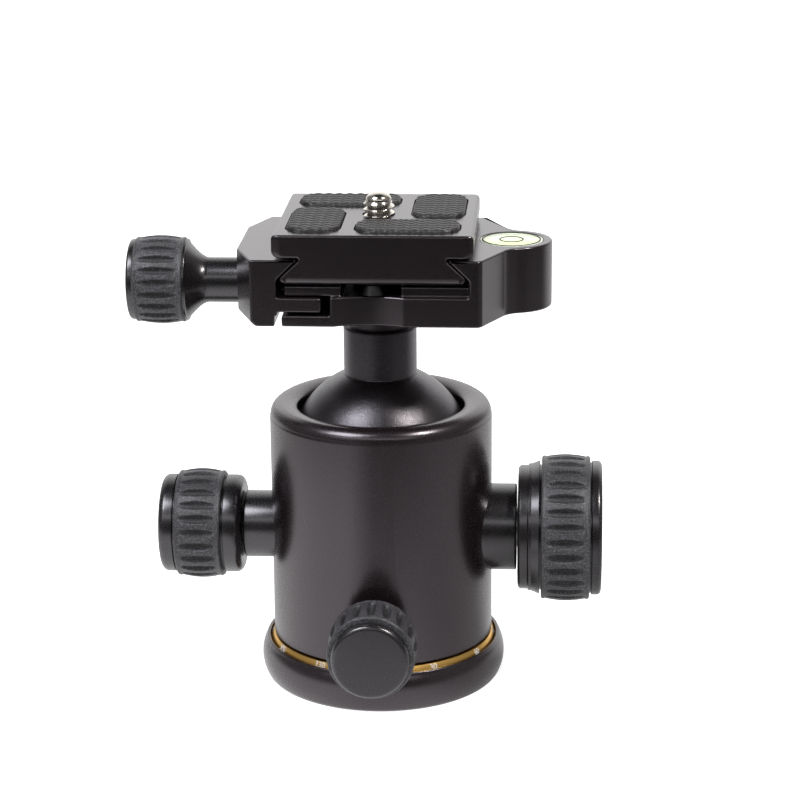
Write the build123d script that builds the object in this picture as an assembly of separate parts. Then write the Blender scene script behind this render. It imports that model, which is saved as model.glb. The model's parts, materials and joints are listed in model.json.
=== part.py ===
"""Tripod ball head: a panning base, a clamped ball and a dovetail quick-release clamp.

Units are millimetres. +Z is up, the origin is the centre of the base's underside, and the head
is seen from the front along +Y: the main lock knob points along +X, the friction knob along -X
and the pan lock knob along -Y. The clamp closes from -X and carries its level on +X.
"""

import os
from math import radians, sin, sqrt, tan

from build123d import *

os.makedirs("parts", exist_ok=True)

# ---------------------------------------------------------------- clearances
RUN = 0.05  # radial clearance of a shaft that turns or slides in its bore
FACE = 0.3  # gap between pieces that pass each other without touching
LOOSE = 0.35  # gap between the plate's dovetail and the clamp's flanks
EDGE = 0.4  # usual broken edge of a turned piece

# ---------------------------------------------------------------- panning base
TRIPOD_THREAD_R = 3.97  # core radius of a 3/8"-16 tripod thread
TRIPOD_THREAD_DEPTH = 14.0
BASE_DECK = 8.0  # height of the deck that the head turns on
BASE_OVERHANG = 2.5  # how far the rim's belly stands out past the housing
BASE_BELLY = 0.9  # how far the belly stands out past the rim's foot and top
BASE_FOOT_EDGE = 0.5
BASE_RIM_EDGE = 0.35  # slope on the outside of the rim's top
BASE_RIM_LIP = 0.25  # slope on the inside of the rim's top
SCALE_GAP = 0.15  # between the rim and the scale ring
SPINDLE_R = 11.0
SPINDLE_HEIGHT = 12.0  # above the deck
BRAKE_GROOVE_DEPTH = 1.1
BRAKE_GROOVE_FLOOR = 1.0  # height of the flat floor of the V groove
BRAKE_GROOVE_MOUTH = 2.8
WASHER_THICKNESS = 1.0
SCALE_SPREAD = 0.7  # how far the sloping band spreads past the housing
SCALE_CONE = 1.2  # height of the scale's sloping band
SCALE_WIDTH = 4.0  # from the housing's outside in to the ring's bore
SCALE_RECESS = 1.6  # how deep the scale ring sits in the deck
RETAINER_OVERHANG = 3.0  # how far the retainer reaches out past the spindle
RETAINER_THICKNESS = 1.8
RETAINER_SCREW_RING_R = 7.0  # radius of the circle that the screws stand on
RETAINER_SCREW_COUNT = 3
RETAINER_SCREW_R = 1.5
RETAINER_SCREW_HEAD_R = 2.9
RETAINER_SCREW_GRIP = 6.0  # thread length in the spindle

# ---------------------------------------------------------------- ball and its seats
BALL_R = 18.0
LINER_THICKNESS = 0.78
SEAT_FIT = 0.06  # running clearance of the ball and of its liner
CUP_FLOOR = 2.6
CUP_HEIGHT = 12.5
CUP_FIT = 0.08
CUP_DRAIN_R = 5.0
SPRING_HEIGHT = 1.5
SPRING_THICKNESS = 0.5
SPRING_REACH = 3.9  # from the housing's bore in to the spring's own bore
LINER_HOLE_R = 6.5
SEAT_RING_HEIGHT = 5.0
SEAT_RING_TOP = 6.5  # above the ball's centre

# ---------------------------------------------------------------- housing
BALL_CLEARANCE = 0.8  # between the ball and the housing's bore
HOUSING_WALL = 3.2
LIP_HEIGHT = 2.0334  # above the foot of the lip's opening
LIP_OVERLAP = 1.5  # how far the lip reaches in over the ball
LIP_BALL_GAP = 0.5
LIP_SHOULDER = (1.5, 0.9)  # slope at the lip's outside: inwards and down
LIP_OUTER_ROUND = 1.0
LIP_INNER_ROUND = 1.5
LIP_FOOT_SLOPE = 0.8  # how far the opening spreads below its narrowest ring
CREASE_BELOW_TOP = 1.8
CREASE_DEPTH = 0.25
PLATE_HEIGHT = 14.0  # bearing plate that closes the housing from below
PLATE_THREAD_WALL = 1.8  # housing wall left outside the bearing plate
NOTCH_CLEARANCE = 0.6  # between the stem and the drop notch
NOTCH_ROUND = 2.0

# ---------------------------------------------------------------- stem
STEM_R = 7.2
STEM_TOP = 26.2  # above the ball's centre
STEM_EDGE = 0.5
STEM_STEP = 1.2  # between the stem and its neck
NECK_LENGTH = 4.4

# ---------------------------------------------------------------- derived stack
HOUSING_BORE_R = BALL_R + BALL_CLEARANCE
LIP_OPENING_R = BALL_R - LIP_OVERLAP
LIP_FOOT = sqrt((BALL_R + LIP_BALL_GAP) ** 2 - LIP_OPENING_R**2)  # above the ball's centre, as the next
LIP_TOP = LIP_FOOT + LIP_HEIGHT
HOUSING_R = HOUSING_BORE_R + HOUSING_WALL
BASE_R = HOUSING_R + BASE_OVERHANG
BASE_EDGE_R = BASE_R - BASE_BELLY
SCALE_FOOT_R = HOUSING_R + SCALE_SPREAD
SCALE_INNER_R = HOUSING_R - SCALE_WIDTH
WASHER_R = SCALE_INNER_R - EDGE
RETAINER_R = SPINDLE_R + RETAINER_OVERHANG
NECK_R = STEM_R - STEM_STEP
HOUSING_BOTTOM = BASE_DECK + WASHER_THICKNESS
PLATE_R = HOUSING_R - PLATE_THREAD_WALL
PLATE_TOP = HOUSING_BOTTOM + PLATE_HEIGHT
SPINDLE_TOP = BASE_DECK + SPINDLE_HEIGHT
CUP_BOTTOM = PLATE_TOP + SPRING_HEIGHT
CUP_SEAT_R = BALL_R + LINER_THICKNESS + 2 * SEAT_FIT
BALL_Z = CUP_BOTTOM + CUP_FLOOR + CUP_SEAT_R
CUP_R = HOUSING_BORE_R - CUP_FIT
SPRING_INNER_R = HOUSING_BORE_R - SPRING_REACH
CUP_TOP = CUP_BOTTOM + CUP_HEIGHT
LIP_TOP_Z = BALL_Z + LIP_TOP
STEM_TOP_Z = BALL_Z + STEM_TOP
CLAMP_BOTTOM = STEM_TOP_Z + NECK_LENGTH

# ---------------------------------------------------------------- knobs
SIDE_KNOB_HEIGHT = 21.5  # of the two side knobs, above the housing's foot
PAN_KNOB_HEIGHT = 7.0
SIDE_KNOB_Z = HOUSING_BOTTOM + SIDE_KNOB_HEIGHT
PAN_KNOB_Z = HOUSING_BOTTOM + PAN_KNOB_HEIGHT
BUSH_SHOULDER = 0.15  # how far a bush's spigot stays short of the bore
NOSE_ANGLE = 30.0  # half angle of the lock pins' conical noses
NOSE_TIP_R = 1.2
PIN_REACH = 0.8  # how far the pins and the screws meet outside the housing's face
NOSE_GAP = 0.1  # along the nose's axis, to its pocket
FRICTION_RELIEF = 0.6  # slack of the friction pin's pocket, so that the cup can drop
KNOB_GAP = 0.3  # between a tightened knob and its bush
SHOE_TIP_R = 0.35
SHOE_TIP_GAP = 0.25
SHOE_SLOPE = 0.8
SHOE_END = 0.5  # how far the shoe's back stays inside the bearing plate
CAP_SPIGOT = 2.0
CAP_WALL = 1.6  # hub wall round the cap's spigot
CAP_EDGE_GROOVE = 0.4
GRIP_EDGE = 0.4
SCREW_END_GAP = 1.0  # between a knob's screw and its cap
HUB_LAND = 0.2  # plain land between the flange and the grip


class Knob:
    """Sizes of one knob. Its radii follow the screw and the core, its lengths the hub's back."""

    def __init__(self, plane, screw_r, spigot_wall, bush_wall, bush_length, core_r, hub_steps, grip,
                 end_wall, crown, groove_count, groove_r, groove_depth, cap_overhang, cap_length, cap_round):
        self.plane = plane  # Z of this plane is the knob's axis
        self.screw_r = screw_r
        self.spigot_r = screw_r + spigot_wall
        self.bush_r = self.spigot_r + bush_wall
        self.bush_end = HOUSING_R + bush_length
        back = self.bush_end + KNOB_GAP
        self.core_r = core_r
        self.flange = [(core_r + step, back + distance) for step, distance in hub_steps]
        self.grip_start, self.grip_end = back + grip[0], back + grip[1]
        self.grip_end_r = core_r + end_wall
        self.crown_r = self.grip_end_r + crown
        self.groove_count = groove_count
        self.groove_r = groove_r
        self.groove_depth = groove_depth
        self.cap_r = core_r + cap_overhang
        self.cap_end = self.grip_end + cap_length
        self.cap_round = cap_round


MAIN = Knob(
    plane=Plane((0, 0, SIDE_KNOB_Z), x_dir=(0, 1, 0), z_dir=(1, 0, 0)),
    screw_r=4.0, spigot_wall=2.0, bush_wall=2.65, bush_length=5.0,
    core_r=12.5, hub_steps=((-0.5, 0), (-0.1, 0.4), (-0.1, 2.0), (0.8, 4.1)), grip=(4.7, 14.2),
    end_wall=1.7, crown=0.4, groove_count=30, groove_r=0.85, groove_depth=0.6,
    cap_overhang=0.9, cap_length=2.4, cap_round=1.4,
)
FRICTION = Knob(
    plane=Plane((0, 0, SIDE_KNOB_Z), x_dir=(0, -1, 0), z_dir=(-1, 0, 0)),
    screw_r=3.0, spigot_wall=1.6, bush_wall=2.1, bush_length=5.4,
    core_r=9.2, hub_steps=((0.0, 0), (0.4, 0.15), (0.6, 0.6), (0.6, 3.5)), grip=(4.0, 13.1),
    end_wall=1.3, crown=0.5, groove_count=24, groove_r=0.8, groove_depth=0.55,
    cap_overhang=0.6, cap_length=3.3, cap_round=1.8,
)
PAN = Knob(
    plane=Plane((0, 0, PAN_KNOB_Z), x_dir=(1, 0, 0), z_dir=(0, -1, 0)),
    screw_r=2.5, spigot_wall=1.4, bush_wall=1.7, bush_length=2.4,
    core_r=6.9, hub_steps=((-0.3, 0), (0.5, 0.4)), grip=(0.9, 9.9),
    end_wall=1.4, crown=0.35, groove_count=16, groove_r=0.8, groove_depth=0.6,
    cap_overhang=0.9, cap_length=2.4, cap_round=1.4,
)

# ---------------------------------------------------------------- quick-release clamp
CLAMP_HALF_DEPTH = 19.0  # as deep as the plate
DOVETAIL_SETBACK = 1.5  # from the plate's edge in to its dovetail
DOVETAIL_HALF = CLAMP_HALF_DEPTH - DOVETAIL_SETBACK  # half width of the plate's dovetail
CLAMP_HEIGHT = 12.9
CLAMP_LEFT = DOVETAIL_HALF - 0.2  # left edge of the fixed half's foot
CLAMP_RIGHT = DOVETAIL_HALF + 2.8  # right front corner
CLAMP_CORNER = 1.5
FOOT_THICKNESS = 2.15
TONGUE_SLOT = 3.6  # height of the slot that guides the jaw
TONGUE_SLOT_LENGTH = 9.2
TONGUE_SLOT_END = CLAMP_LEFT - TONGUE_SLOT_LENGTH
FLOOR_THICKNESS = 1.95
FLOOR_SETBACK = 1.0
FLOOR_LEFT = CLAMP_LEFT - 0.5
CHANNEL_LEFT = 6.0
CHANNEL_RIGHT = 5.3
BOSS_HALF = 7.5  # half width of the screw's boss between the jaw's tongues
SCALLOP_R = 17.0
SCALLOP_DEPTH = 1.4
SCALLOP_X = -0.7
LOBE_REACH = 5.4  # from the right corner to the level's centre
LOBE_X = CLAMP_RIGHT + LOBE_REACH
LOBE_R = 7.9
LOBE_FLARE = (LOBE_X + 1.3, 5.0)
LOBE_BLEND = 5.0
LEVEL_R = 6.05
LEVEL_DEPTH = 5.0
LEVEL_WALL = 0.75
LEVEL_FLOOR = 0.8
LEVEL_LENS = 1.1
LEVEL_SINK = 0.1
BOLT_R = 3.0
BOLT_HEAD_R = 5.0
BOLT_HEAD_HEIGHT = 3.2
BOLT_HEAD_GAP = 0.5  # between the bolt's head and the plate
BOLT_GRIP = 12.0  # thread length in the stem
BOLT_SOCKET_R = 2.5
BOLT_SOCKET_DEPTH = 1.8

JAW_WALL = 5.6  # from the plate's dovetail to the jaw's front corner
JAW_SLOPE = 3.6  # how far the jaw's corners slope to its left face
JAW_FRONT_CORNER = DOVETAIL_HALF + JAW_WALL
JAW_LEFT = JAW_FRONT_CORNER + JAW_SLOPE
JAW_ROUND = 1.5
JAW_FACE_SETBACK = 9.7  # from the jaw's front to its left face
JAW_FACE_HALF = CLAMP_HALF_DEPTH - JAW_FACE_SETBACK
JAW_BEVEL = 0.9
JAW_FOOT_X = CLAMP_LEFT + 1.3
TONGUE_ROOT = 0.5  # how far a tongue runs into the jaw's body
TONGUE_END = TONGUE_SLOT_END + 1.7
TONGUE_TOP_GAP = 0.2
TONGUE_BOTTOM_GAP = 0.65
TONGUE_SIDE_GAP = 0.5
JAW_SPRING_Y = 5.2
JAW_SPRING_R = 1.4
JAW_SPRING_WIRE = 0.35
JAW_SPRING_POCKET = 1.5
JAW_SPRING_HOLE = 5.5
CLAMP_SCREW_Z = CLAMP_BOTTOM + 4.4
CLAMP_SCREW_R = 2.5
CLAMP_SCREW_END = BOLT_HEAD_R + 1.4
CLAMP_NECK_R = 4.4
CLAMP_NECK_LENGTH = 6.6
CLAMP_FLARE_LENGTH = 4.0
CLAMP_FLARE_R = 7.5
CLAMP_NECK_END = JAW_LEFT + CLAMP_NECK_LENGTH
CLAMP_FLARE_END = CLAMP_NECK_END + CLAMP_FLARE_LENGTH
CLAMP_FLARE_BOW = 0.75  # how far the flare's middle stands off the neck
CLAMP_FLANGE_R = 8.0
CLAMP_FLANGE_LENGTH = 0.6  # from the flare's end to the grip
CLAMP_GRIP_LENGTH = 9.7
CLAMP_GRIP_START = CLAMP_FLARE_END + CLAMP_FLANGE_LENGTH
CLAMP_GRIP_END = CLAMP_GRIP_START + CLAMP_GRIP_LENGTH
CLAMP_GRIP_GAP = 0.1
CLAMP_CORE_R = 7.0
CLAMP_END_R = CLAMP_CORE_R + 1.2  # of the grip at its ends
CLAMP_CROWN_R = CLAMP_END_R + 0.45
CLAMP_GROOVE_COUNT = 22
CLAMP_GROOVE_R = 0.75
CLAMP_GROOVE_DEPTH = 0.5
CLAMP_CAP_R = CLAMP_CORE_R + 0.9
CLAMP_CAP_END = CLAMP_GRIP_END + 1.2
CLAMP_CAP_ROUND = 0.9

# ---------------------------------------------------------------- quick-release plate
PLATE_HALF = CLAMP_HALF_DEPTH
PLATE_CORNER = 1.8
PLATE_LIFT = 0.2  # plate's foot above the clamp's floor
DOVETAIL_NECK_HALF = DOVETAIL_HALF - 3.5
DOVETAIL_FOOT = 1.4
DOVETAIL_EDGE = 0.8
DOVETAIL_LAND = 0.5
DOVETAIL_HEIGHT = 5.36
SLAB_THICKNESS = 4.44
SLAB_TOP_ROUND = 0.8
SLAB_SIDE_ROUND = 1.2
PAD_END_MARGIN = 2.6  # from the plate's edge to the pad's near end
PAD_SIDE_MARGIN = 2.1  # from the plate's edge to the pad's long side
PAD_PAST_MIDDLE = 3.8  # how far the pad's far end lies past the plate's middle
PAD_INNER_SIDE = 6.3  # from the plate's middle to the pad's inner side
PAD_LENGTH = PLATE_HALF - PAD_END_MARGIN + PAD_PAST_MIDDLE
PAD_WIDTH = PLATE_HALF - PAD_SIDE_MARGIN - PAD_INNER_SIDE
PAD_CORNER = 3.8
PAD_OFFSET = ((PLATE_HALF - PAD_END_MARGIN - PAD_PAST_MIDDLE) / 2, (PLATE_HALF - PAD_SIDE_MARGIN + PAD_INNER_SIDE) / 2)
PAD_THICKNESS = 1.3
PAD_PROUD = 0.7
PAD_EDGE = 0.25
CAMERA_THREAD_R = 3.175  # 1/4"-20 camera thread
CAMERA_THREAD_PROUD = 4.4
CAMERA_SCREW_DOME = 0.6
CAMERA_SCREW_RELIEF_R = 2.6
CAMERA_THREAD_START = 0.2  # how far the thread starts above the plate's top
CAMERA_HEAD_EDGE = 0.3
CAMERA_HEAD_R = 6.6
CAMERA_HEAD_HEIGHT = 2.3
CAMERA_HEAD_SINK = 0.5
CAMERA_SLOT_WIDTH = 1.6
CAMERA_SLOT_DEPTH = 1.2
CLIP_THICKNESS = 0.6
CLIP_R = 5.2
STOP_Y = PLATE_HALF - 2.6
STOP_SHANK_R = 1.5
STOP_SHANK = 3.0
STOP_NECK_R = 1.9
STOP_FLARE_R = 2.6
STOP_DROP = 1.75

# ---------------------------------------------------------------- derived clamp heights
FOOT_TOP = CLAMP_BOTTOM + FOOT_THICKNESS
SLOT_TOP = FOOT_TOP + TONGUE_SLOT
FLOOR_TOP = SLOT_TOP + FLOOR_THICKNESS
CLAMP_TOP = CLAMP_BOTTOM + CLAMP_HEIGHT
PLATE_BOTTOM = FLOOR_TOP + PLATE_LIFT
SLAB_BOTTOM = PLATE_BOTTOM + DOVETAIL_HEIGHT
SLAB_TOP = SLAB_BOTTOM + SLAB_THICKNESS
LEVEL_BOTTOM = CLAMP_TOP - LEVEL_DEPTH
BOLT_SEAT = PLATE_BOTTOM - BOLT_HEAD_GAP - BOLT_HEAD_HEIGHT
JAW_BODY_END = DOVETAIL_HALF + 2 * LOOSE


# ---------------------------------------------------------------- helpers
def turned(outline, radii=None):
    """Solid of revolution about Z from an (r, z) outline, with optional corner radii."""
    if radii is None:
        wire = Polyline(*outline, close=True)
    else:
        wire = FilletPolyline(*outline, radius=radii, close=True)
    return revolve(Plane.XZ * make_face(wire), Axis.Z)


def rod(radius, bottom, top):
    """Round bar on Z between two heights."""
    return Pos(0, 0, (bottom + top) / 2) * Cylinder(radius, top - bottom)


def bored_rod(radius, bore, bottom, top):
    """Round tube on Z between two heights."""
    return rod(radius, bottom, top) - rod(bore, bottom, top)


def block(low, high):
    """Box between two corners."""
    size = [b - a for a, b in zip(low, high)]
    centre = [(a + b) / 2 for a, b in zip(low, high)]
    return Pos(*centre) * Box(*size)


def slab(outline, bottom, top):
    """Plan sketch pulled up from one height to another."""
    return extrude(Plane((0, 0, bottom)) * outline, amount=top - bottom)


def save(shape, name):
    """Write one sub-part."""
    export_step(shape, f"parts/{name}.step")


# ---------------------------------------------------------------- panning base
def pan_base():
    """Barrel-rimmed disc with its spindle, brake groove and blind tripod thread."""
    recess = BASE_DECK - SCALE_RECESS
    rim_top_inner = SCALE_FOOT_R + SCALE_GAP
    groove_z = PAN_KNOB_Z
    half_floor, half_mouth = BRAKE_GROOVE_FLOOR / 2, BRAKE_GROOVE_MOUTH / 2
    foot, shoulder = BASE_FOOT_EDGE, BASE_DECK - BASE_FOOT_EDGE
    belly = ThreePointArc((BASE_EDGE_R, foot), (BASE_R, BASE_DECK / 2), (BASE_EDGE_R, shoulder))
    lines = Curve() + [
        belly,
        Polyline(
            (BASE_EDGE_R, shoulder),
            (BASE_EDGE_R - BASE_RIM_EDGE, BASE_DECK),
            (rim_top_inner, BASE_DECK - BASE_RIM_LIP),
            (rim_top_inner, recess),
            (SCALE_INNER_R, recess),
            (SCALE_INNER_R, BASE_DECK),
            (SPINDLE_R, BASE_DECK),
            (SPINDLE_R, groove_z - half_mouth),
            (SPINDLE_R - BRAKE_GROOVE_DEPTH, groove_z - half_floor),
            (SPINDLE_R - BRAKE_GROOVE_DEPTH, groove_z + half_floor),
            (SPINDLE_R, groove_z + half_mouth),
            (SPINDLE_R, SPINDLE_TOP),
            (0, SPINDLE_TOP),
            (0, 0),
            (BASE_EDGE_R - foot, 0),
            (BASE_EDGE_R, foot),
        ),
    ]
    body = revolve(Plane.XZ * make_face(lines), Axis.Z)
    body -= rod(TRIPOD_THREAD_R, 0, TRIPOD_THREAD_DEPTH)
    tapped = rod(RETAINER_SCREW_R, SPINDLE_TOP - RETAINER_SCREW_GRIP, SPINDLE_TOP)
    return body - PolarLocations(RETAINER_SCREW_RING_R, RETAINER_SCREW_COUNT) * tapped


def pan_scale_ring():
    """Anodised ring with a sloping band for the degree scale."""
    bottom = BASE_DECK - SCALE_RECESS
    top = HOUSING_BOTTOM - FACE
    return turned([
        (SCALE_INNER_R + RUN, bottom),
        (SCALE_FOOT_R, bottom),
        (SCALE_FOOT_R, top - SCALE_CONE),
        (HOUSING_R, top),
        (SCALE_INNER_R + RUN, top),
    ])


def pan_thrust_washer():
    """Slippery washer that the housing turns on."""
    return bored_rod(WASHER_R, SPINDLE_R + RUN, BASE_DECK, HOUSING_BOTTOM)


def countersunk(head_r, shank_r, seat_top, grip):
    """Countersunk screw on Z, head up, with its head's top at seat_top."""
    cone = head_r - shank_r
    return turned([(0, seat_top), (head_r, seat_top), (shank_r, seat_top - cone), (shank_r, grip), (0, grip)])


def pan_retainer():
    """Disc on the spindle's top that holds the head down."""
    top = SPINDLE_TOP + RETAINER_THICKNESS
    seat = countersunk(RETAINER_SCREW_HEAD_R, RETAINER_SCREW_R, top, SPINDLE_TOP)
    disc = turned([(0, SPINDLE_TOP), (RETAINER_R, SPINDLE_TOP), (RETAINER_R, top), (0, top)], [0, 0, EDGE, 0])
    return disc - PolarLocations(RETAINER_SCREW_RING_R, RETAINER_SCREW_COUNT) * seat


def pan_retainer_screws():
    """Three countersunk screws of the retaining disc."""
    top = SPINDLE_TOP + RETAINER_THICKNESS
    one = countersunk(RETAINER_SCREW_HEAD_R, RETAINER_SCREW_R, top, SPINDLE_TOP - RETAINER_SCREW_GRIP)
    return Compound(PolarLocations(RETAINER_SCREW_RING_R, RETAINER_SCREW_COUNT) * one)


# ---------------------------------------------------------------- housing and what it holds
def notch_outline(grow):
    """Front view of the drop notch: a U as wide as the stem, with its mouth rounded outwards."""
    half = STEM_R + NOTCH_CLEARANCE + grow
    top = LIP_TOP_Z - BALL_Z
    mouth = half + 2 * NOTCH_ROUND
    points = [
        (-mouth, top + 3), (-mouth, top), (-half, top), (-half, -half),
        (half, -half), (half, top), (mouth, top), (mouth, top + 3),
    ]
    bottom = half - 0.05
    wire = FilletPolyline(*points, radius=[0, 0, NOTCH_ROUND, bottom, bottom, NOTCH_ROUND, 0, 0], close=True)
    return make_face(wire)


def drop_notch(grow=0.0):
    """Cutter for the notch at the back, which lets the stem lie level."""
    plane = Plane((0, 0, BALL_Z), x_dir=(-1, 0, 0), z_dir=(0, 1, 0))
    return extrude(plane * notch_outline(grow), amount=HOUSING_R + 3)


def housing():
    """Turned shell with a rounded lip over the ball, knob holes and the drop notch."""
    under_lip = BALL_Z + SEAT_RING_TOP
    crease = LIP_TOP_Z - CREASE_BELOW_TOP
    opening_foot = BALL_Z + LIP_FOOT
    shoulder_in, shoulder_down = LIP_SHOULDER
    points = [
        (HOUSING_R - EDGE, HOUSING_BOTTOM), (HOUSING_R, HOUSING_BOTTOM + EDGE),
        (HOUSING_R, crease - CREASE_DEPTH), (HOUSING_R - CREASE_DEPTH, crease),
        (HOUSING_R, crease + CREASE_DEPTH),
        (HOUSING_R, LIP_TOP_Z - shoulder_down), (HOUSING_R - shoulder_in, LIP_TOP_Z), (LIP_OPENING_R, LIP_TOP_Z),
        (LIP_OPENING_R, opening_foot), (LIP_OPENING_R + LIP_FOOT_SLOPE, under_lip),
        (HOUSING_BORE_R, under_lip), (HOUSING_BORE_R, PLATE_TOP),
        (PLATE_R + RUN, PLATE_TOP), (PLATE_R + RUN, HOUSING_BOTTOM),
    ]
    radii = [0] * len(points)
    radii[5:8] = LIP_OUTER_ROUND, LIP_OUTER_ROUND, LIP_INNER_ROUND
    body = turned(points, radii)
    for knob in (MAIN, FRICTION, PAN):
        body -= knob.plane * rod(knob.spigot_r, 0, HOUSING_R + 1)
    return body - drop_notch()


def bearing_plate():
    """Threaded floor of the housing: spindle bearing below, retainer's room above."""
    body = turned([
        (SPINDLE_R + RUN, HOUSING_BOTTOM), (PLATE_R - EDGE, HOUSING_BOTTOM),
        (PLATE_R, HOUSING_BOTTOM + EDGE), (PLATE_R, PLATE_TOP),
        (RETAINER_R + 2 * FACE, PLATE_TOP), (RETAINER_R + 2 * FACE, SPINDLE_TOP),
        (SPINDLE_R + RUN, SPINDLE_TOP),
    ])
    return body - PAN.plane * rod(PAN.screw_r + RUN, 0, PLATE_R + 1)


def cup_spring():
    """Disc spring that holds the cup up against the ball."""
    outer = CUP_R - 2 * FACE
    return turned([
        (SPRING_INNER_R, PLATE_TOP), (outer, CUP_BOTTOM - SPRING_THICKNESS),
        (outer, CUP_BOTTOM), (SPRING_INNER_R, PLATE_TOP + SPRING_THICKNESS),
    ])


def ball_space(radius):
    """Sphere about the ball's centre."""
    return Pos(0, 0, BALL_Z) * Sphere(radius)


def nose(tip, mouth):
    """Conical nose, from its flat tip out to a distance."""
    end_r = NOSE_TIP_R + (mouth - tip) * tan(radians(NOSE_ANGLE))
    return turned([(0, tip), (NOSE_TIP_R, tip), (end_r, mouth), (0, mouth)])


def nose_tip(knob):
    """Distance of a lock pin's tip, so that its cone ends just outside the cup."""
    return CUP_R + BUSH_SHOULDER - (knob.screw_r - NOSE_TIP_R) / tan(radians(NOSE_ANGLE))


def pressure_cup():
    """Cup under the ball, with the pockets that the two lock pins bear on."""
    body = turned([
        (CUP_DRAIN_R, CUP_BOTTOM), (CUP_R - EDGE, CUP_BOTTOM), (CUP_R, CUP_BOTTOM + EDGE),
        (CUP_R, CUP_TOP - EDGE), (CUP_R - EDGE, CUP_TOP), (CUP_DRAIN_R, CUP_TOP),
    ])
    body -= ball_space(CUP_SEAT_R)
    slack = FRICTION_RELIEF / sin(radians(NOSE_ANGLE))
    body -= MAIN.plane * nose(nose_tip(MAIN) - NOSE_GAP, CUP_R + 1)
    body -= FRICTION.plane * nose(nose_tip(FRICTION) - slack, CUP_R + 1)
    return body


def ball_liner():
    """Thin spherical liner between the cup and the ball."""
    shell = ball_space(CUP_SEAT_R - SEAT_FIT) - ball_space(BALL_R + SEAT_FIT)
    keep = bored_rod(CUP_R, LINER_HOLE_R, CUP_BOTTOM, CUP_TOP - FACE)
    return shell & keep


def upper_seat():
    """Ring under the lip that the ball is pressed against, open at the notch."""
    top = BALL_Z + SEAT_RING_TOP
    ring = rod(HOUSING_BORE_R - RUN, top - SEAT_RING_HEIGHT, top)
    return ring - ball_space(BALL_R + SEAT_FIT) - drop_notch(FACE)


def ball_stem():
    """Ball, stem and neck turned in one piece, tapped for the clamp's bolt."""
    stem = turned(
        [(0, BALL_Z), (STEM_R, BALL_Z), (STEM_R, STEM_TOP_Z), (NECK_R, STEM_TOP_Z), (NECK_R, CLAMP_BOTTOM),
         (0, CLAMP_BOTTOM)],
        [0, 0, STEM_EDGE, 0, 0, 0],
    )
    tapped = rod(BOLT_R + RUN, CLAMP_BOTTOM - BOLT_GRIP - FACE, CLAMP_BOTTOM)
    return ball_space(BALL_R) + stem - tapped


# ---------------------------------------------------------------- knobs
def knob_bush(knob, spigot_end):
    """Bush that stands on the housing and guides the knob's screw."""
    outside = turned(
        [(0, 0), (knob.bush_r, 0), (knob.bush_r, knob.bush_end), (0, knob.bush_end)], [0, 0, EDGE, 0],
    )
    outside = knob.plane * outside - rod(HOUSING_R, 0, CLAMP_BOTTOM)
    spigot = knob.plane * rod(knob.spigot_r, spigot_end, HOUSING_R + 0.5)
    return outside + spigot - knob.plane * rod(knob.screw_r + RUN, 0, knob.bush_end + 1)


def lock_pin(knob):
    """Pin with a conical nose that slides in the bush ahead of the screw."""
    mouth = CUP_R + BUSH_SHOULDER
    pin = nose(nose_tip(knob), mouth) + rod(knob.screw_r, mouth, HOUSING_R + PIN_REACH)
    return knob.plane * pin


def pan_brake_shoe():
    """Shoe with a blunt cone that runs in the spindle's V groove."""
    tip = SPINDLE_R - BRAKE_GROOVE_DEPTH + SHOE_TIP_GAP
    shoulder = tip + (PAN.screw_r - SHOE_TIP_R) / SHOE_SLOPE
    shoe = turned([
        (0, tip), (SHOE_TIP_R, tip), (PAN.screw_r, shoulder), (PAN.screw_r, PLATE_R - SHOE_END),
        (0, PLATE_R - SHOE_END),
    ])
    return PAN.plane * shoe


def knob_screw(knob, start):
    """Threaded rod fixed in the knob's hub."""
    return knob.plane * rod(knob.screw_r, start, knob.grip_end - CAP_SPIGOT - SCREW_END_GAP)


def knob_hub(knob):
    """Metal hub: flared back, plain core under the grip, recess for the cap."""
    start = knob.flange[0][1]
    last_r, last = knob.flange[-1]
    end = knob.grip_end
    points = [(knob.screw_r, start), *knob.flange, (last_r, last + HUB_LAND), (knob.core_r, last + HUB_LAND)]
    points += [(knob.core_r, end), (knob.screw_r, end)]
    body = turned(points)
    return knob.plane * (body - rod(cap_spigot_r(knob), end - CAP_SPIGOT, end))


def cap_spigot_r(knob):
    """Radius of the cap's spigot, inside the hub's core."""
    return knob.core_r - CAP_WALL


def crowned_grip(inner_r, crown_r, end_r, start, end, count, groove_r, depth):
    """Rubber sleeve with a barrel outline and straight grooves that fade towards its ends."""
    low, high = start + GRIP_EDGE, end - GRIP_EDGE
    belly = (2 * crown_r - end_r, (start + end) / 2)
    outline = Curve() + [
        Polyline((end_r, low), (end_r - GRIP_EDGE, start), (inner_r, start), (inner_r, end),
                 (end_r - GRIP_EDGE, end), (end_r, high)),
        Bezier((end_r, high), belly, (end_r, low)),
    ]
    sleeve = revolve(Plane.XZ * make_face(outline), Axis.Z)
    cutter = rod(groove_r, start - 1, end + 1)
    return sleeve - PolarLocations(crown_r - depth + groove_r, count) * cutter


def knob_grip(knob):
    """Grooved rubber sleeve of a knob."""
    return knob.plane * crowned_grip(
        knob.core_r, knob.crown_r, knob.grip_end_r, knob.grip_start, knob.grip_end,
        knob.groove_count, knob.groove_r, knob.groove_depth,
    )


def knob_cap(knob):
    """Round-edged end cap with a shadow groove against the grip."""
    start = knob.grip_end
    groove = CAP_EDGE_GROOVE
    cap = turned(
        [(0, start), (knob.cap_r - groove, start), (knob.cap_r - groove, start + groove),
         (knob.cap_r, start + groove), (knob.cap_r, knob.cap_end), (0, knob.cap_end)],
        [0, 0, 0, 0, knob.cap_round, 0],
    )
    return knob.plane * (cap + rod(cap_spigot_r(knob), start - CAP_SPIGOT, start))


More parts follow.
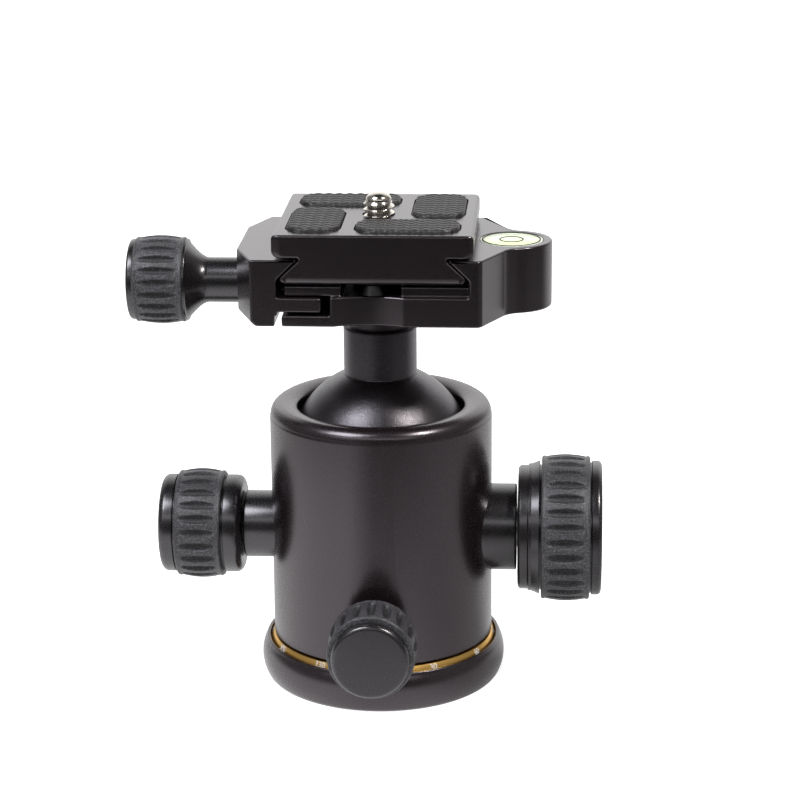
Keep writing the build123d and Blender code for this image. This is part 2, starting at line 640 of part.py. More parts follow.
# ---------------------------------------------------------------- clamp
def clamp_axis(height=CLAMP_SCREW_Z, y=0.0):
    """Plane whose Z runs along the clamp screw, outwards to the left."""
    return Plane((0, y, height), x_dir=(0, -1, 0), z_dir=(-1, 0, 0))


def flank(side, body_x, bottom):
    """Front view of a dovetail wall's inner side, from its foot up to its top edge."""
    foot = PLATE_BOTTOM + DOVETAIL_FOOT
    land = SLAB_BOTTOM - DOVETAIL_LAND
    rise = (land - foot) / (DOVETAIL_HALF - DOVETAIL_NECK_HALF)
    start = foot + rise * (DOVETAIL_HALF + LOOSE - body_x)
    return [
        (side * body_x, bottom),
        (side * body_x, start),
        (side * (DOVETAIL_NECK_HALF + LOOSE), land),
        (side * (DOVETAIL_NECK_HALF + LOOSE), CLAMP_TOP),
    ]


def front_profile(points):
    """Front view pulled to the clamp's full depth."""
    face = Plane.XZ * make_face(Polyline(*points, close=True))
    return extrude(face, amount=CLAMP_HALF_DEPTH, both=True)


def clamp_plan():
    """Plan of the fixed half: square front and back, flared into the level's round lobe."""
    flare_x, flare_y = LOBE_FLARE
    outline = make_face(Polyline(
        (-CLAMP_LEFT, -CLAMP_HALF_DEPTH), (CLAMP_RIGHT, -CLAMP_HALF_DEPTH), (flare_x, -flare_y),
        (flare_x, flare_y), (CLAMP_RIGHT, CLAMP_HALF_DEPTH), (-CLAMP_LEFT, CLAMP_HALF_DEPTH), close=True,
    ))
    outline += Pos(LOBE_X, 0) * Circle(LOBE_R)
    corners = [v for v in outline.vertices() if abs(v.X - CLAMP_RIGHT) < 0.01]
    outline = fillet(corners, CLAMP_CORNER)
    blends = [v for v in outline.vertices() if v.X > CLAMP_RIGHT + 2 and flare_y < abs(v.Y) <= LOBE_R + 0.1]
    return fillet(blends, LOBE_BLEND)


def clamp_base():
    """Fixed half of the clamp, with the dovetail wall, the jaw's slots and the level's lobe."""
    right = LOBE_X + LOBE_R + 1
    body = front_profile([
        (-CLAMP_LEFT, CLAMP_BOTTOM), (right, CLAMP_BOTTOM), (right, CLAMP_TOP),
        *reversed(flank(1, JAW_BODY_END, FLOOR_TOP)),
        (CHANNEL_RIGHT, FLOOR_TOP), (CHANNEL_RIGHT, SLOT_TOP), (-CHANNEL_LEFT, SLOT_TOP),
        (-CHANNEL_LEFT, FLOOR_TOP), (-FLOOR_LEFT, FLOOR_TOP), (-FLOOR_LEFT, SLOT_TOP), (-CLAMP_LEFT, SLOT_TOP),
    ])
    body = body & slab(clamp_plan(), CLAMP_BOTTOM, CLAMP_TOP)
    setback = CLAMP_HALF_DEPTH - FLOOR_SETBACK
    past = CLAMP_HALF_DEPTH + 1
    for side in (-1, 1):
        slot = block(
            (-CLAMP_LEFT - 1, min(side * BOSS_HALF, side * past), FOOT_TOP),
            (-TONGUE_SLOT_END, max(side * BOSS_HALF, side * past), SLOT_TOP),
        )
        ledge = block(
            (-FLOOR_LEFT - 1, min(side * setback, side * past), SLOT_TOP),
            (JAW_BODY_END, max(side * setback, side * past), FLOOR_TOP + 0.01),
        )
        body = body - slot - ledge
        scallop_y = side * (CLAMP_HALF_DEPTH - SCALLOP_DEPTH + SCALLOP_R)
        body -= Pos(SCALLOP_X, scallop_y) * rod(SCALLOP_R, CLAMP_BOTTOM, SLOT_TOP)
    body -= Pos(LOBE_X, 0) * rod(LEVEL_R + RUN, LEVEL_BOTTOM, CLAMP_TOP)
    body -= rod(BOLT_HEAD_R + RUN, BOLT_SEAT, CLAMP_TOP)
    body -= rod(BOLT_R + RUN, CLAMP_BOTTOM, CLAMP_TOP)
    body -= clamp_axis() * rod(CLAMP_SCREW_R + RUN, CLAMP_SCREW_END - FACE, JAW_LEFT)
    for y in (-JAW_SPRING_Y, JAW_SPRING_Y):
        body -= clamp_axis(y=y) * rod(JAW_SPRING_R + FACE, CLAMP_LEFT - JAW_SPRING_HOLE, JAW_LEFT)
    return body


def clamp_bolt():
    """Socket-head bolt that holds the clamp on the stem."""
    end, top = CLAMP_BOTTOM - BOLT_GRIP, BOLT_SEAT + BOLT_HEAD_HEIGHT
    bolt = turned(
        [(0, end), (BOLT_R, end), (BOLT_R, BOLT_SEAT), (BOLT_HEAD_R, BOLT_SEAT), (BOLT_HEAD_R, top), (0, top)],
        [0, EDGE, 0, 0, EDGE, 0],
    )
    return bolt - slab(RegularPolygon(BOLT_SOCKET_R, 6), top - BOLT_SOCKET_DEPTH, top)


def moving_jaw():
    """Sliding half of the clamp: dovetail wall, two guide tongues, bevelled left side."""
    body = front_profile([
        (-JAW_LEFT, CLAMP_BOTTOM), (-JAW_FOOT_X, CLAMP_BOTTOM), (-JAW_FOOT_X, FOOT_TOP),
        *flank(-1, JAW_BODY_END, FOOT_TOP), (-JAW_LEFT, CLAMP_TOP),
    ])
    inner = -TONGUE_END + 1
    plan = make_face(FilletPolyline(
        (inner, -CLAMP_HALF_DEPTH), (-JAW_FRONT_CORNER, -CLAMP_HALF_DEPTH), (-JAW_LEFT, -JAW_FACE_HALF),
        (-JAW_LEFT, JAW_FACE_HALF), (-JAW_FRONT_CORNER, CLAMP_HALF_DEPTH), (inner, CLAMP_HALF_DEPTH),
        radius=[0, 0, JAW_ROUND, JAW_ROUND, 0, 0], close=True,
    ))
    body = body & slab(plan, CLAMP_BOTTOM, CLAMP_TOP)
    low_edges = [
        e for e in body.edges()
        if e.bounding_box().max.Z < CLAMP_BOTTOM + 0.01 and e.center().X < -JAW_FRONT_CORNER + FACE
    ]
    body = chamfer(low_edges, JAW_BEVEL)
    tongue_bottom = FOOT_TOP + TONGUE_BOTTOM_GAP
    tongue_top = SLOT_TOP - TONGUE_TOP_GAP
    for side in (-1, 1):
        near, far = side * (BOSS_HALF + TONGUE_SIDE_GAP), side * CLAMP_HALF_DEPTH
        body += block(
            (-JAW_FOOT_X - TONGUE_ROOT, min(near, far), tongue_bottom),
            (-TONGUE_END, max(near, far), tongue_top),
        )
    body -= clamp_axis() * rod(CLAMP_SCREW_R + FACE, 0, JAW_LEFT + 1)
    for y in (-JAW_SPRING_Y, JAW_SPRING_Y):
        body -= clamp_axis(y=y) * rod(JAW_SPRING_R + FACE, 0, JAW_BODY_END + JAW_SPRING_POCKET)
    return body


def jaw_springs():
    """Two coil springs, drawn as their sleeves, that push the jaw open."""
    start, end = CLAMP_LEFT - JAW_SPRING_HOLE, JAW_BODY_END + JAW_SPRING_POCKET
    one = bored_rod(JAW_SPRING_R, JAW_SPRING_R - 2 * JAW_SPRING_WIRE, start, end)
    return Compound([clamp_axis(y=y) * one for y in (-JAW_SPRING_Y, JAW_SPRING_Y)])


def clamp_screw():
    """Threaded rod of the clamp knob, into the boss between the tongues."""
    return clamp_axis() * rod(CLAMP_SCREW_R, CLAMP_SCREW_END, CLAMP_GRIP_END - CAP_SPIGOT - SCREW_END_GAP)


def clamp_knob_hub():
    """Slim neck that flares into the knob's core."""
    start, end = CLAMP_GRIP_START, CLAMP_GRIP_END
    flare_r, flare_end = CLAMP_FLARE_R, CLAMP_FLARE_END
    middle = (CLAMP_NECK_R + CLAMP_FLARE_BOW, CLAMP_NECK_END * 0.45 + flare_end * 0.55)
    lines = Curve() + [
        Polyline((CLAMP_SCREW_R, end), (CLAMP_SCREW_R, JAW_LEFT), (CLAMP_NECK_R, JAW_LEFT),
                 (CLAMP_NECK_R, CLAMP_NECK_END)),
        ThreePointArc((CLAMP_NECK_R, CLAMP_NECK_END), middle, (flare_r, flare_end)),
        Polyline((flare_r, flare_end), (CLAMP_FLANGE_R, flare_end + HUB_LAND),
                 (CLAMP_FLANGE_R, start - CLAMP_GRIP_GAP), (CLAMP_CORE_R, start - CLAMP_GRIP_GAP),
                 (CLAMP_CORE_R, end), (CLAMP_SCREW_R, end)),
    ]
    body = revolve(Plane.XZ * make_face(lines), Axis.Z)
    return clamp_axis() * (body - rod(CLAMP_CORE_R - CAP_WALL, end - CAP_SPIGOT, end))


def clamp_knob_grip():
    """Grooved rubber sleeve of the clamp knob."""
    return clamp_axis() * crowned_grip(
        CLAMP_CORE_R, CLAMP_CROWN_R, CLAMP_END_R, CLAMP_GRIP_START, CLAMP_GRIP_END,
        CLAMP_GROOVE_COUNT, CLAMP_GROOVE_R, CLAMP_GROOVE_DEPTH,
    )


def clamp_knob_cap():
    """Low end cap of the clamp knob."""
    start = CLAMP_GRIP_END
    cap = turned(
        [(0, start), (CLAMP_CAP_R, start), (CLAMP_CAP_R, CLAMP_CAP_END), (0, CLAMP_CAP_END)],
        [0, 0, CLAMP_CAP_ROUND, 0],
    )
    return clamp_axis() * (cap + rod(CLAMP_CORE_R - CAP_WALL, start - CAP_SPIGOT, start))


# ---------------------------------------------------------------- level
def level_cup():
    """Cup of the round level."""
    body = rod(LEVEL_R, LEVEL_BOTTOM, CLAMP_TOP - LEVEL_SINK)
    return Pos(LOBE_X, 0) * (body - rod(LEVEL_R - LEVEL_WALL, LEVEL_BOTTOM + LEVEL_FLOOR, CLAMP_TOP))


def level_liquid():
    """Tinted liquid."""
    top = CLAMP_TOP - LEVEL_SINK - LEVEL_LENS
    return Pos(LOBE_X, 0) * rod(LEVEL_R - LEVEL_WALL, LEVEL_BOTTOM + LEVEL_FLOOR, top)


def level_lens():
    """Clear window over the liquid."""
    top = CLAMP_TOP - LEVEL_SINK
    return Pos(LOBE_X, 0) * rod(LEVEL_R - LEVEL_WALL, top - LEVEL_LENS, top)


# ---------------------------------------------------------------- quick-release plate
def pad_locations():
    """Places of the four pads, turned round the screw like a pinwheel."""
    x, y = PAD_OFFSET
    spots = {"front": (x, -y, 0), "right": (y, x, 90), "back": (-x, y, 0), "left": (-y, -x, 90)}
    return {name: Pos(px, py) * Rot(0, 0, turn) for name, (px, py, turn) in spots.items()}


def quick_plate():
    """Square plate with rounded edges on a dovetail foot."""
    foot = PLATE_BOTTOM + DOVETAIL_FOOT
    land = SLAB_BOTTOM - DOVETAIL_LAND
    right = [
        (DOVETAIL_HALF - DOVETAIL_EDGE, PLATE_BOTTOM), (DOVETAIL_HALF, PLATE_BOTTOM + DOVETAIL_EDGE),
        (DOVETAIL_HALF, foot),
        (DOVETAIL_NECK_HALF, land), (DOVETAIL_NECK_HALF, SLAB_BOTTOM),
    ]
    left = [(-x, z) for x, z in reversed(right)]
    tail = extrude(Plane.XZ * make_face(Polyline(*right, *left, close=True)), amount=PLATE_HALF, both=True)
    deck = slab(RectangleRounded(2 * PLATE_HALF, 2 * PLATE_HALF, PLATE_CORNER), SLAB_BOTTOM, SLAB_TOP)
    deck = fillet(deck.edges().group_by(Axis.Z)[-1], SLAB_TOP_ROUND)
    sides = [e for e in deck.edges().group_by(Axis.Z)[0] if abs(e.center().X) > DOVETAIL_HALF]
    deck = fillet(sides, SLAB_SIDE_ROUND)
    body = deck + tail
    body -= rod(CAMERA_THREAD_R + RUN, PLATE_BOTTOM, SLAB_TOP)
    head_room = PLATE_BOTTOM + CAMERA_HEAD_SINK + CAMERA_HEAD_HEIGHT + CLIP_THICKNESS
    body -= rod(CAMERA_HEAD_R + FACE, PLATE_BOTTOM, head_room)
    pocket = pad_outline(RUN)
    for place in pad_locations().values():
        body -= place * slab(pocket, SLAB_TOP - PAD_THICKNESS + PAD_PROUD, SLAB_TOP)
    for y in (-STOP_Y, STOP_Y):
        body -= Pos(0, y) * rod(STOP_SHANK_R, PLATE_BOTTOM, PLATE_BOTTOM + STOP_SHANK)
    return body


def pad_outline(grow=0.0):
    """Rounded rectangle of one pad."""
    return RectangleRounded(PAD_LENGTH + 2 * grow, PAD_WIDTH + 2 * grow, PAD_CORNER + grow)


def plate_pad(place):
    """Rubber pad set into the plate."""
    bottom = SLAB_TOP - PAD_THICKNESS + PAD_PROUD
    pad = slab(pad_outline(), bottom, bottom + PAD_THICKNESS)
    return place * chamfer(pad.edges().group_by(Axis.Z)[-1], PAD_EDGE)


def camera_screw():
    """Captive camera screw: slotted head, relieved shank, short thread with a domed end."""
    head_bottom = PLATE_BOTTOM + CAMERA_HEAD_SINK
    head_top = head_bottom + CAMERA_HEAD_HEIGHT
    thread_bottom = SLAB_TOP + CAMERA_THREAD_START
    thread_top = SLAB_TOP + CAMERA_THREAD_PROUD
    body = turned([
        (0, head_bottom), (CAMERA_HEAD_R - CAMERA_HEAD_EDGE, head_bottom),
        (CAMERA_HEAD_R, head_bottom + CAMERA_HEAD_EDGE),
        (CAMERA_HEAD_R, head_top), (CAMERA_SCREW_RELIEF_R, head_top), (CAMERA_SCREW_RELIEF_R, thread_bottom),
        (CAMERA_THREAD_R, thread_bottom), (CAMERA_THREAD_R, thread_top - CAMERA_SCREW_DOME),
        (CAMERA_THREAD_R - CAMERA_SCREW_DOME, thread_top), (0, thread_top),
    ])
    half = CAMERA_SLOT_WIDTH / 2
    reach, slot_top = CAMERA_HEAD_R + 1, head_bottom + CAMERA_SLOT_DEPTH
    return body - block((-reach, -half, head_bottom), (reach, half, slot_top))


def screw_clip():
    """Spring washer between the screw's head and the plate."""
    bottom = PLATE_BOTTOM + CAMERA_HEAD_SINK + CAMERA_HEAD_HEIGHT
    return bored_rod(CLIP_R, CAMERA_SCREW_RELIEF_R + RUN, bottom, bottom + CLIP_THICKNESS)


def plate_stop_screws():
    """Two stop screws under the plate's ends, which keep it from sliding out."""
    stop = turned([
        (0, PLATE_BOTTOM + STOP_SHANK), (STOP_SHANK_R, PLATE_BOTTOM + STOP_SHANK), (STOP_SHANK_R, PLATE_BOTTOM),
        (STOP_NECK_R, PLATE_BOTTOM), (STOP_FLARE_R, PLATE_BOTTOM - STOP_DROP), (0, PLATE_BOTTOM - STOP_DROP),
    ])
    return Compound([Pos(0, y) * stop for y in (-STOP_Y, STOP_Y)])


# ---------------------------------------------------------------- write every sub-part
save(pan_base(), "pan_base")
save(pan_scale_ring(), "pan_scale_ring")
save(pan_thrust_washer(), "pan_thrust_washer")
save(pan_retainer(), "pan_retainer")
save(pan_retainer_screws(), "pan_retainer_screws")

save(housing(), "housing")
save(bearing_plate(), "bearing_plate")
save(cup_spring(), "cup_spring")
save(pressure_cup(), "pressure_cup")
save(ball_liner(), "ball_liner")
save(upper_seat(), "upper_seat")
save(ball_stem(), "ball_stem")

BORE_STOP = HOUSING_BORE_R + BUSH_SHOULDER
KNOBS = {
    "main": (MAIN, BORE_STOP, HOUSING_R + PIN_REACH),
    "friction": (FRICTION, BORE_STOP, HOUSING_R + PIN_REACH),
    "pan": (PAN, PLATE_R + BUSH_SHOULDER, PLATE_R - SHOE_END),
}
for name, (knob, spigot_end, screw_start) in KNOBS.items():
    save(knob_bush(knob, spigot_end), f"{name}_bush")
    save(knob_screw(knob, screw_start), f"{name}_screw")
    save(knob_hub(knob), f"{name}_knob_hub")
    save(knob_grip(knob), f"{name}_knob_grip")
    save(knob_cap(knob), f"{name}_knob_cap")
save(lock_pin(MAIN), "main_lock_pin")
save(lock_pin(FRICTION), "friction_pin")
save(pan_brake_shoe(), "pan_brake_shoe")

save(clamp_base(), "clamp_base")
save(clamp_bolt(), "clamp_bolt")
save(moving_jaw(), "moving_jaw")
save(jaw_springs(), "jaw_springs")
save(clamp_screw(), "clamp_screw")
save(clamp_knob_hub(), "clamp_knob_hub")
save(clamp_knob_grip(), "clamp_knob_grip")
save(clamp_knob_cap(), "clamp_knob_cap")
save(level_cup(), "level_cup")
save(level_liquid(), "level_liquid")
save(level_lens(), "level_lens")

save(quick_plate(), "quick_plate")
for name, place in pad_locations().items():
    save(plate_pad(place), f"plate_pad_{name}")
save(camera_screw(), "camera_screw")
save(screw_clip(), "screw_clip")
save(plate_stop_screws(), "plate_stop_screws")
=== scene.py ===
"""Looks of the tripod ball head: turned black parts, rubber grips, dovetail clamp and level."""

import json
import logging
from dataclasses import dataclass
from enum import Enum
from math import cos, pi, radians, sin, tan
from typing import Any, Callable, Iterable, Optional, Sequence

import bmesh
import bpy
import numpy as np
from mathutils import Matrix, Vector


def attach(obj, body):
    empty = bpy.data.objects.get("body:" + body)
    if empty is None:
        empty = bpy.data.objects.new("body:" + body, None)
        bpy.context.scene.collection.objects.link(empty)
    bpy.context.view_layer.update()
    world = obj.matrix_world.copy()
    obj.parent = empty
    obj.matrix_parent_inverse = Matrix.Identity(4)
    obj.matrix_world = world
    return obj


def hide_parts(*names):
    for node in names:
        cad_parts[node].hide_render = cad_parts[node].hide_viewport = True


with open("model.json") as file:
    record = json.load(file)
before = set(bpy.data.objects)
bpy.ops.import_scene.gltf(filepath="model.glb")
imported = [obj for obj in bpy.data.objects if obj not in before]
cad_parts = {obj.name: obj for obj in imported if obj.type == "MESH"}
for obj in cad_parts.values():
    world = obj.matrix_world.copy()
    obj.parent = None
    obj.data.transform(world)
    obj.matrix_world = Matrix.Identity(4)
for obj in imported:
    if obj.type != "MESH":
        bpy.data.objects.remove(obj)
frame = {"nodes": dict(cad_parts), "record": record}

LOG = logging.getLogger("ball_head")
MM = 0.001
Vec3 = tuple[float, float, float]
Profile = Sequence[tuple[float, float]]
Feed = Any
Piece = bpy.types.Object
Tree = bpy.types.NodeTree
Socket = bpy.types.NodeSocket


# ------------------------------------------------------------------ placing
class Direction(Enum):
    """Where a turned piece's own axis points in the head's frame."""

    UP = "up"
    LEFT = "left"
    RIGHT = "right"
    FRONT = "front"


@dataclass(frozen=True)
class Seat:
    """Axis that a turned piece stands on: a direction and a point in millimetres."""

    direction: Direction = Direction.UP
    x: float = 0.0
    y: float = 0.0
    z: float = 0.0

    def place(self, points: np.ndarray) -> np.ndarray:
        """Carry points from the piece's own axes (its Z outwards) to the head's frame.

        Args:
            points: Array of shape (n, 3) in millimetres.

        Returns:
            The same points in metres in the head's frame.
        """
        u, v, w = points[:, 0], points[:, 1], points[:, 2]
        if self.direction is Direction.UP:
            turned = np.stack([u, v, w], 1)
        elif self.direction is Direction.RIGHT:
            turned = np.stack([w, u, v], 1)
        elif self.direction is Direction.LEFT:
            turned = np.stack([-w, -u, v], 1)
        else:
            turned = np.stack([u, -w, v], 1)
        return (turned + np.array([self.x, self.y, self.z])) * MM


# ------------------------------------------------------------------ profiles
def arc(centre: tuple[float, float], radius: float, start: float, end: float, count: int) -> np.ndarray:
    """Points on a circle: centre + radius * (cos t, sin t), t from start to end in degrees.

    Args:
        centre: Centre as (r, z) in millimetres.
        radius: Radius in millimetres.
        start: First angle in degrees.
        end: Last angle in degrees.
        count: Number of points.

    Returns:
        Array of shape (count, 2).
    """
    t = np.radians(np.linspace(start, end, count))
    return np.stack([centre[0] + radius * np.cos(t), centre[1] + radius * np.sin(t)], 1)


def rounded(points: Profile, radii: Sequence[float], steps: int = 5) -> np.ndarray:
    """Open profile whose corners are rounded by arcs that touch both neighbouring runs.

    Each corner is cut back by radius * tan(half the turn), and the arc's points are worked out
    on a circle that is tangent to both runs.

    Args:
        points: Corners as (r, z) in millimetres.
        radii: One radius per corner, 0 for a sharp one.
        steps: Segments in each arc.

    Returns:
        Array of profile points.
    """
    corners = np.array(points, float)
    out: list[np.ndarray] = [corners[:1]]
    for i in range(1, len(corners) - 1):
        radius = radii[i]
        here = corners[i]
        before, after = corners[i - 1] - here, corners[i + 1] - here
        len_before, len_after = np.linalg.norm(before), np.linalg.norm(after)
        before, after = before / len_before, after / len_after
        half = np.arccos(np.clip(before @ after, -1, 1)) / 2
        if radius <= 0 or half > radians(89):
            out.append(here[None])
            continue
        cut = min(radius / tan(half), 0.49 * len_before, 0.49 * len_after)
        radius = cut * tan(half)
        bisector = (before + after) / np.linalg.norm(before + after)
        centre = here + bisector * radius / sin(half)
        first, last = here + before * cut - centre, here + after * cut - centre
        a0 = np.arctan2(first[1], first[0])
        turn = np.arctan2(last[1], last[0]) - a0
        turn = (turn + pi) % (2 * pi) - pi
        angles = a0 + turn * np.linspace(0, 1, steps + 1)
        out.append(centre + radius * np.stack([np.cos(angles), np.sin(angles)], 1))
    out.append(corners[-1:])
    return np.concatenate(out)


# ------------------------------------------------------------------ meshes
def put(name: str, data: bpy.types.ID) -> Piece:
    """New object in the scene that carries a mesh, a text, a lamp or a camera."""
    thing = bpy.data.objects.new(name, data)
    bpy.context.scene.collection.objects.link(thing)
    return thing


def link(name: str, vertices: np.ndarray, faces: Sequence[Sequence[int]], smooth: bool = True) -> Piece:
    """Make a mesh object at the origin from metres and face lists.

    Args:
        name: Name of the piece.
        vertices: Array of shape (n, 3) in metres.
        faces: Vertex numbers of each face.
        smooth: Whether faces are smooth shaded.

    Returns:
        The linked object.
    """
    mesh = bpy.data.meshes.new(name)
    mesh.from_pydata(vertices.tolist(), [], [list(map(int, f)) for f in faces])
    mesh.validate()
    mesh.update()
    if smooth:
        mesh.polygons.foreach_set("use_smooth", np.ones(len(mesh.polygons), bool))
    return put(name, mesh)


def grid_faces(rows: int, columns: int, closed: bool) -> np.ndarray:
    """Quads of a rows x columns grid of vertices; closed joins the last column to the first."""
    i, j = np.meshgrid(np.arange(rows - 1), np.arange(columns if closed else columns - 1), indexing="ij")
    low, high, k = i * columns, (i + 1) * columns, (j + 1) % columns
    return np.stack([low + j, low + k, high + k, high + j], -1).reshape(-1, 4)


def lathe(
    name: str,
    profile: np.ndarray,
    seat: Seat,
    segments: int = 128,
    radius_change: Optional[Callable[[np.ndarray, np.ndarray, np.ndarray], np.ndarray]] = None,
    edge: float = 0.0,
) -> Piece:
    """Turned piece: point(i, t) = (r_i * cos t, r_i * sin t, z_i), with an optional change of r.

    Args:
        name: Name of the piece.
        profile: (r, z) points, outwards side on the right when walked; ends on the axis are closed.
        seat: Axis to stand on.
        segments: Number of steps round the axis.
        radius_change: Function of (r, angle, z) arrays that gives what is added to r.
        edge: Smallest turn in degrees that stays a sharp edge, 0 for none.

    Returns:
        The piece.
    """
    angles = np.linspace(0, 2 * pi, segments, endpoint=False)
    r, t = np.meshgrid(profile[:, 0], angles, indexing="ij")
    z = np.repeat(profile[:, 1][:, None], segments, 1)
    if radius_change is not None:
        r = r + np.where(r > 1e-6, radius_change(r, t, z), 0)
    points = np.stack([r * np.cos(t), r * np.sin(t), z], -1).reshape(-1, 3)
    piece = link(name, seat.place(points), grid_faces(len(profile), segments, True))
    tidy(piece)
    if edge:
        sharpen(piece, edge)
    return piece


def hole(radius_and_height: Profile, seat: Seat = Seat(), segments: int = 64) -> Piece:
    """Turned cutter."""
    return lathe("hole", np.array(radius_and_height), seat, segments)


def prism(name: str, plan: np.ndarray, low: float, high: float, upright: bool = True) -> Piece:
    """Closed plan carried along Z, or with X and Z as its plan along Y.

    Args:
        name: Name of the piece.
        plan: Points of the plan in millimetres.
        low: Where it begins.
        high: Where it ends.
        upright: Whether it is carried along Z.

    Returns:
        The piece.
    """
    n = len(plan)
    points = np.concatenate([np.column_stack([plan, np.full(n, w)]) for w in (low, high)])
    faces: list[list[int]] = [[i, (i + 1) % n, (i + 1) % n + n, i + n] for i in range(n)]
    faces += [list(range(n))[::-1], list(range(n, 2 * n))]
    piece = link(name, (points if upright else points[:, [0, 2, 1]]) * MM, faces)
    tidy(piece)
    return piece


def tidy(piece: Piece, distance: float = 1e-7) -> None:
    """Merge doubled vertices, drop faces without area and turn all faces outwards.

    Args:
        piece: The piece to mend.
        distance: Merge distance in metres.
    """
    work = bmesh.new()
    work.from_mesh(piece.data)
    bmesh.ops.remove_doubles(work, verts=work.verts, dist=distance)
    bmesh.ops.dissolve_degenerate(work, edges=work.edges, dist=distance)
    bmesh.ops.recalc_face_normals(work, faces=work.faces)
    work.to_mesh(piece.data)
    work.free()
    piece.data.update()


def sharpen(piece: Piece, angle: float = 35.0) -> None:
    """Mark edges that turn by more than an angle in degrees as sharp."""
    piece.data.polygons.foreach_set("use_smooth", np.ones(len(piece.data.polygons), bool))
    piece.data.set_sharp_from_angle(angle=radians(angle))


def apply_modifiers(piece: Piece) -> None:
    """Bake all modifiers of a piece into its mesh."""
    bpy.context.view_layer.update()
    graph = bpy.context.evaluated_depsgraph_get()
    mesh = bpy.data.meshes.new_from_object(piece.evaluated_get(graph))
    old = piece.data
    piece.modifiers.clear()
    piece.data = mesh
    bpy.data.meshes.remove(old)


def cut(piece: Piece, tools: Iterable[Piece]) -> None:
    """Take tool solids out of a piece and remove the tools."""
    tools = list(tools)
    for tool in tools:
        step = piece.modifiers.new("cut", "BOOLEAN")
        step.operation, step.solver, step.object = "DIFFERENCE", "EXACT", tool
    apply_modifiers(piece)
    for tool in tools:
        mesh = tool.data
        bpy.data.objects.remove(tool)
        bpy.data.meshes.remove(mesh)


def flat_faces(piece: Piece) -> None:
    """Weigh normals by face area, so that flat faces stay flat beside rounded edges."""
    step = piece.modifiers.new("flat faces", "WEIGHTED_NORMAL")
    step.mode, step.weight, step.keep_sharp = "FACE_AREA", 100, True
    apply_modifiers(piece)


def bevelled_copy(node: str, name: str, width: float, segments: int, angle: float = 32.0) -> Piece:
    """Copy of a CAD node with merged vertices and its hard edges rounded.

    Args:
        node: CAD node to copy.
        name: Name of the new piece.
        width: Bevel width in millimetres.
        segments: Bevel segments.
        angle: Smallest turn in degrees that counts as an edge.

    Returns:
        The piece.
    """
    piece = put(name, frame["nodes"][node].data.copy())
    piece.data.materials.clear()
    for layer in list(piece.data.attributes):
        if layer.name == "custom_normal":
            piece.data.attributes.remove(layer)
    work = bmesh.new()
    work.from_mesh(piece.data)
    bmesh.ops.remove_doubles(work, verts=work.verts, dist=1e-6)
    bmesh.ops.dissolve_limit(work, angle_limit=radians(0.6), verts=work.verts, edges=work.edges)
    work.to_mesh(piece.data)
    work.free()
    step = piece.modifiers.new("edges", "BEVEL")
    step.width, step.segments, step.limit_method = width * MM, segments, "ANGLE"
    step.angle_limit, step.use_clamp_overlap, step.harden_normals = radians(angle), False, False
    step.miter_outer = "MITER_ARC"
    apply_modifiers(piece)
    sharpen(piece, 40)
    flat_faces(piece)
    return piece


# ------------------------------------------------------------------ shader building
def join(tree: Tree, value: Feed, socket: Socket) -> None:
    """Feed an input from another socket, or set it to a constant.

    Args:
        tree: Node tree.
        value: Socket or constant.
        socket: Input to feed.
    """
    if isinstance(value, Socket):
        tree.links.new(value, socket)
    else:
        socket.default_value = value


def add(tree: Tree, kind: str, inputs: dict[Any, Feed], **settings: Any) -> bpy.types.Node:
    """Node with its settings made and its inputs fed.

    Args:
        tree: Node tree.
        kind: Node type after "ShaderNode".
        inputs: Socket or constant for each input, by name or number.
        settings: Properties of the node.

    Returns:
        The node.
    """
    node = tree.nodes.new("ShaderNode" + kind)
    for key, value in settings.items():
        setattr(node, key, value)
    for key, value in inputs.items():
        join(tree, value, node.inputs[key])
    return node


def maths(tree: Tree, operation: str, *values: Feed) -> Socket:
    """Result of a Math node over sockets or numbers."""
    return add(tree, "Math", dict(enumerate(values)), operation=operation).outputs[0]


def mix(tree: Tree, factor: Feed, first: Feed, second: Feed, kind: str = "RGBA",
        blend: str = "MIX") -> Socket:
    """first * (1 - factor) + second * factor, or the blend type's own mix of the two."""
    node = add(tree, "Mix", {}, data_type=kind, blend_type=blend)
    for key, value in (("Factor", factor), ("A", first), ("B", second)):
        join(tree, value, node.inputs[key])
    return node.outputs["Result"]


def spread(tree: Tree, value: Feed, low: float, high: float) -> Socket:
    """Carry a value from 0..1 to low..high."""
    return add(tree, "MapRange", {"Value": value, "To Min": low, "To Max": high}).outputs["Result"]


def relief(tree: Tree, height: Feed, strength: float, depth_mm: float) -> Socket:
    """Normal of a height that is depth_mm deep."""
    inputs = {"Height": height, "Strength": strength, "Distance": depth_mm * MM}
    return add(tree, "Bump", inputs).outputs["Normal"]


def rgba(colour: Vec3, scale: float = 1.0) -> tuple[float, float, float, float]:
    """Opaque colour, its channels scaled."""
    return (colour[0] * scale, colour[1] * scale, colour[2] * scale, 1.0)


def grain_group() -> Tree:
    """Fine even grain of a cell size in millimetres, and a slow cloud."""
    tree = bpy.data.node_groups.new("fine_grain", "ShaderNodeTree")
    for label, value in (("Cell mm", 0.2), ("Detail", 2.0)):
        tree.interface.new_socket(name=label, in_out="INPUT", socket_type="NodeSocketFloat").default_value = value
    for label in ("Height", "Cloud"):
        tree.interface.new_socket(name=label, in_out="OUTPUT", socket_type="NodeSocketFloat")
    start, end = tree.nodes.new("NodeGroupInput"), tree.nodes.new("NodeGroupOutput")
    place = add(tree, "TexCoord", {}).outputs["Object"]
    scale = maths(tree, "DIVIDE", 1 / MM, start.outputs["Cell mm"])
    noise = add(tree, "TexNoise", {"Vector": place, "Scale": scale, "Detail": start.outputs["Detail"]})
    cloud = add(tree, "TexNoise", {"Vector": place, "Scale": 90.0, "Detail": 3.0})
    join(tree, noise.outputs["Fac"], end.inputs["Height"])
    join(tree, cloud.outputs["Fac"], end.inputs["Cloud"])
    return tree


